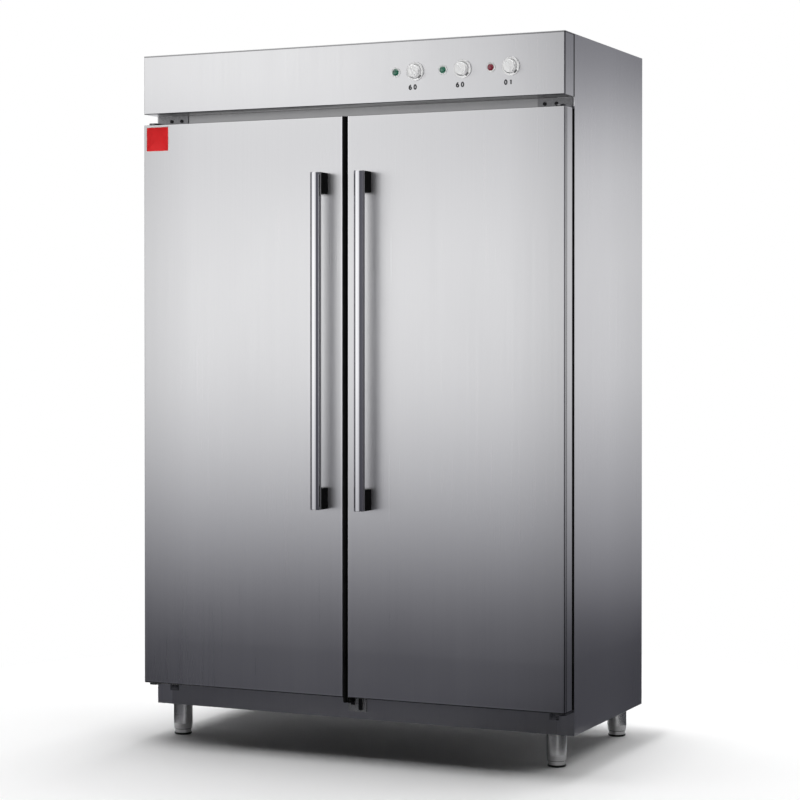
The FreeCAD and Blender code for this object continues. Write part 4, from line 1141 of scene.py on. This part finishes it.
# %% [markdown]
# ## A tent to mirror
# Steel only looks like steel when it has something to mirror, so a fabric tent stands round the set. The
# camera and the shadows don't see it, only gloss does. It is dark at the bottom and pale at the height of a
# person, as in a studio where dark cloths lie on the ground out of the picture, and a few dark upright cloths
# hang in it, which draw the bands on the handle bars.

# %% The tent's cloth
TENT_HIGH = 4.2
TENT_LEVEL = 1.4
FRONT_HEIGHTS = ((0.00, 0.082), (0.10, 0.14), (0.22, 0.28), (0.42, 0.53), (0.65, 0.86), (0.95, 1.18),
                 (1.35, 1.26), (1.85, 0.98), (1.93, 1.33), (2.15, 1.35), (2.50, 1.00), (4.20, 0.90))
SIDE_HEIGHTS = ((0.00, 0.080), (0.10, 0.15), (0.22, 0.29), (0.42, 0.49), (0.65, 0.70), (0.95, 0.98),
                (1.35, 1.07), (1.65, 0.95), (1.83, 0.72), (1.93, 0.53), (2.02, 0.39), (2.09, 0.32),
                (2.60, 0.22), (4.20, 0.22))
BEARINGS = ((-180, 0.9), (-110, 0.9), (-95, 0.7), (-84, 0.12), (-64, 0.08), (-56, 0.8), (-48, 0.85),
            (-36, 1.0), (-12, 1.0), (4, 0.93), (17, 0.85), (24, 0.11), (60, 0.12), (85, 0.15),
            (104, 0.8), (115, 0.9), (180, 0.9))
COOL_CAST = 0.94
FRONT_ENDS = math.radians(-22)
SIDE_STARTS = math.radians(8)


def ramp_of(material, value, pairs, low, high):
    """A grey ramp through (place, level) pairs, with place going from low to high and a faint cool cast."""
    ramp = add(material, "ShaderNodeValToRGB")
    points = ramp.color_ramp.elements
    while len(points) < len(pairs):
        points.new(0.5)
    for point, (place, level) in zip(points, pairs):
        point.position = (place - low) / (high - low)
        point.color = (level, level, level ** COOL_CAST, 1)
    join(material, value, ramp.inputs["Fac"])
    return ramp.outputs[0]


def blended(material, first, second, **settings):
    """A node that mixes two colours, wholly the second unless its Factor is set."""
    mixer = add(material, "ShaderNodeMix", data_type="RGBA", **settings)
    mixer.inputs["Factor"].default_value = 1.0
    join(material, first, mixer.inputs[FIRST_COLOUR])
    join(material, second, mixer.inputs[SECOND_COLOUR])
    return mixer


def tent_material():
    """Light by height, times light by bearing, the angle round from the front. What the front of the cabinet
    mirrors and what its sides mirror rise in their own ways, so there are two ramps by height."""
    material = bpy.data.materials.new("tent_cloth")
    material.use_nodes = True
    material.node_tree.nodes.remove(shader_of(material))
    up = stepped(material, placed(material, "Z"), 0, 1, 0, TENT_HIGH)
    front, side = (ramp_of(material, up, [(z, level / TENT_LEVEL) for z, level in heights], 0, TENT_HIGH)
                   for heights in (FRONT_HEIGHTS, SIDE_HEIGHTS))
    forward = maths(material, "MULTIPLY", placed(material, "Y"), -1)
    turn = maths(material, "ARCTAN2", placed(material, "X"), forward)
    tall = blended(material, front, side)
    join(material, stepped(material, turn, 0, 1, FRONT_ENDS, SIDE_STARTS), tall.inputs["Factor"])
    round_about = ramp_of(material, stepped(material, turn, 0, 1, -math.pi, math.pi), BEARINGS, -180, 180)
    level = blended(material, tall.outputs[MIXED_COLOUR], round_about, blend_type="MULTIPLY")
    light = add(material, "ShaderNodeEmission")
    light.inputs["Strength"].default_value = TENT_LEVEL
    join(material, level.outputs[MIXED_COLOUR], light.inputs["Color"])
    join(material, light.outputs[0], material.node_tree.nodes["Material Output"].inputs["Surface"])
    return material


tent_cloth = tent_material()
print("tent cloth:", len(FRONT_HEIGHTS), "and", len(SIDE_HEIGHTS), "heights,", len(BEARINGS), "bearings")

# %% [markdown]
# ## The tent's shape
# The cloth is an open cylinder whose foot lies on the floor as a flat skirt, with a hole in it where the
# cabinet stands. The hole is nearly a rectangle: a point on it at an angle is as far from the middle as makes
# |x / half width| ^ 6 + |y / half depth| ^ 6 come to 1.

# %% Tent
TENT_RADIUS = 2.4
HOLE_HALF = (0.72, 0.40)
HOLE_POWER = 6
SKIRT_REACH = 1.6
SKIRT_HIGH = 2 * MM
COLUMNS = 96

angle = np.linspace(0, 2 * np.pi, COLUMNS, endpoint=False)
wide = np.abs(np.cos(angle) / HOLE_HALF[0]) ** HOLE_POWER
deep = np.abs(np.sin(angle) / HOLE_HALF[1]) ** HOLE_POWER
hole = (wide + deep) ** (-1 / HOLE_POWER)
reach = np.stack([hole, *(np.full(COLUMNS, out) for out in (SKIRT_REACH, TENT_RADIUS, TENT_RADIUS))])
lift = np.repeat([[SKIRT_HIGH], [SKIRT_HIGH], [SKIRT_HIGH], [TENT_HIGH]], COLUMNS, 1)
tent_corners = np.stack([reach * np.cos(angle), reach * np.sin(angle), lift], -1).reshape(-1, 3)
tent = keep("tent", tent_corners, grid_faces(4, COLUMNS, wrap_columns=True), None, tent_cloth)
hide(tent, "camera", "diffuse", "shadow", "transmission")
print("tent", 2 * TENT_RADIUS, "m across")

# %% [markdown]
# ## The count
# The number of new pieces that this lesson made is printed.

# %% Count the pieces
print("pieces made here:", len(made))
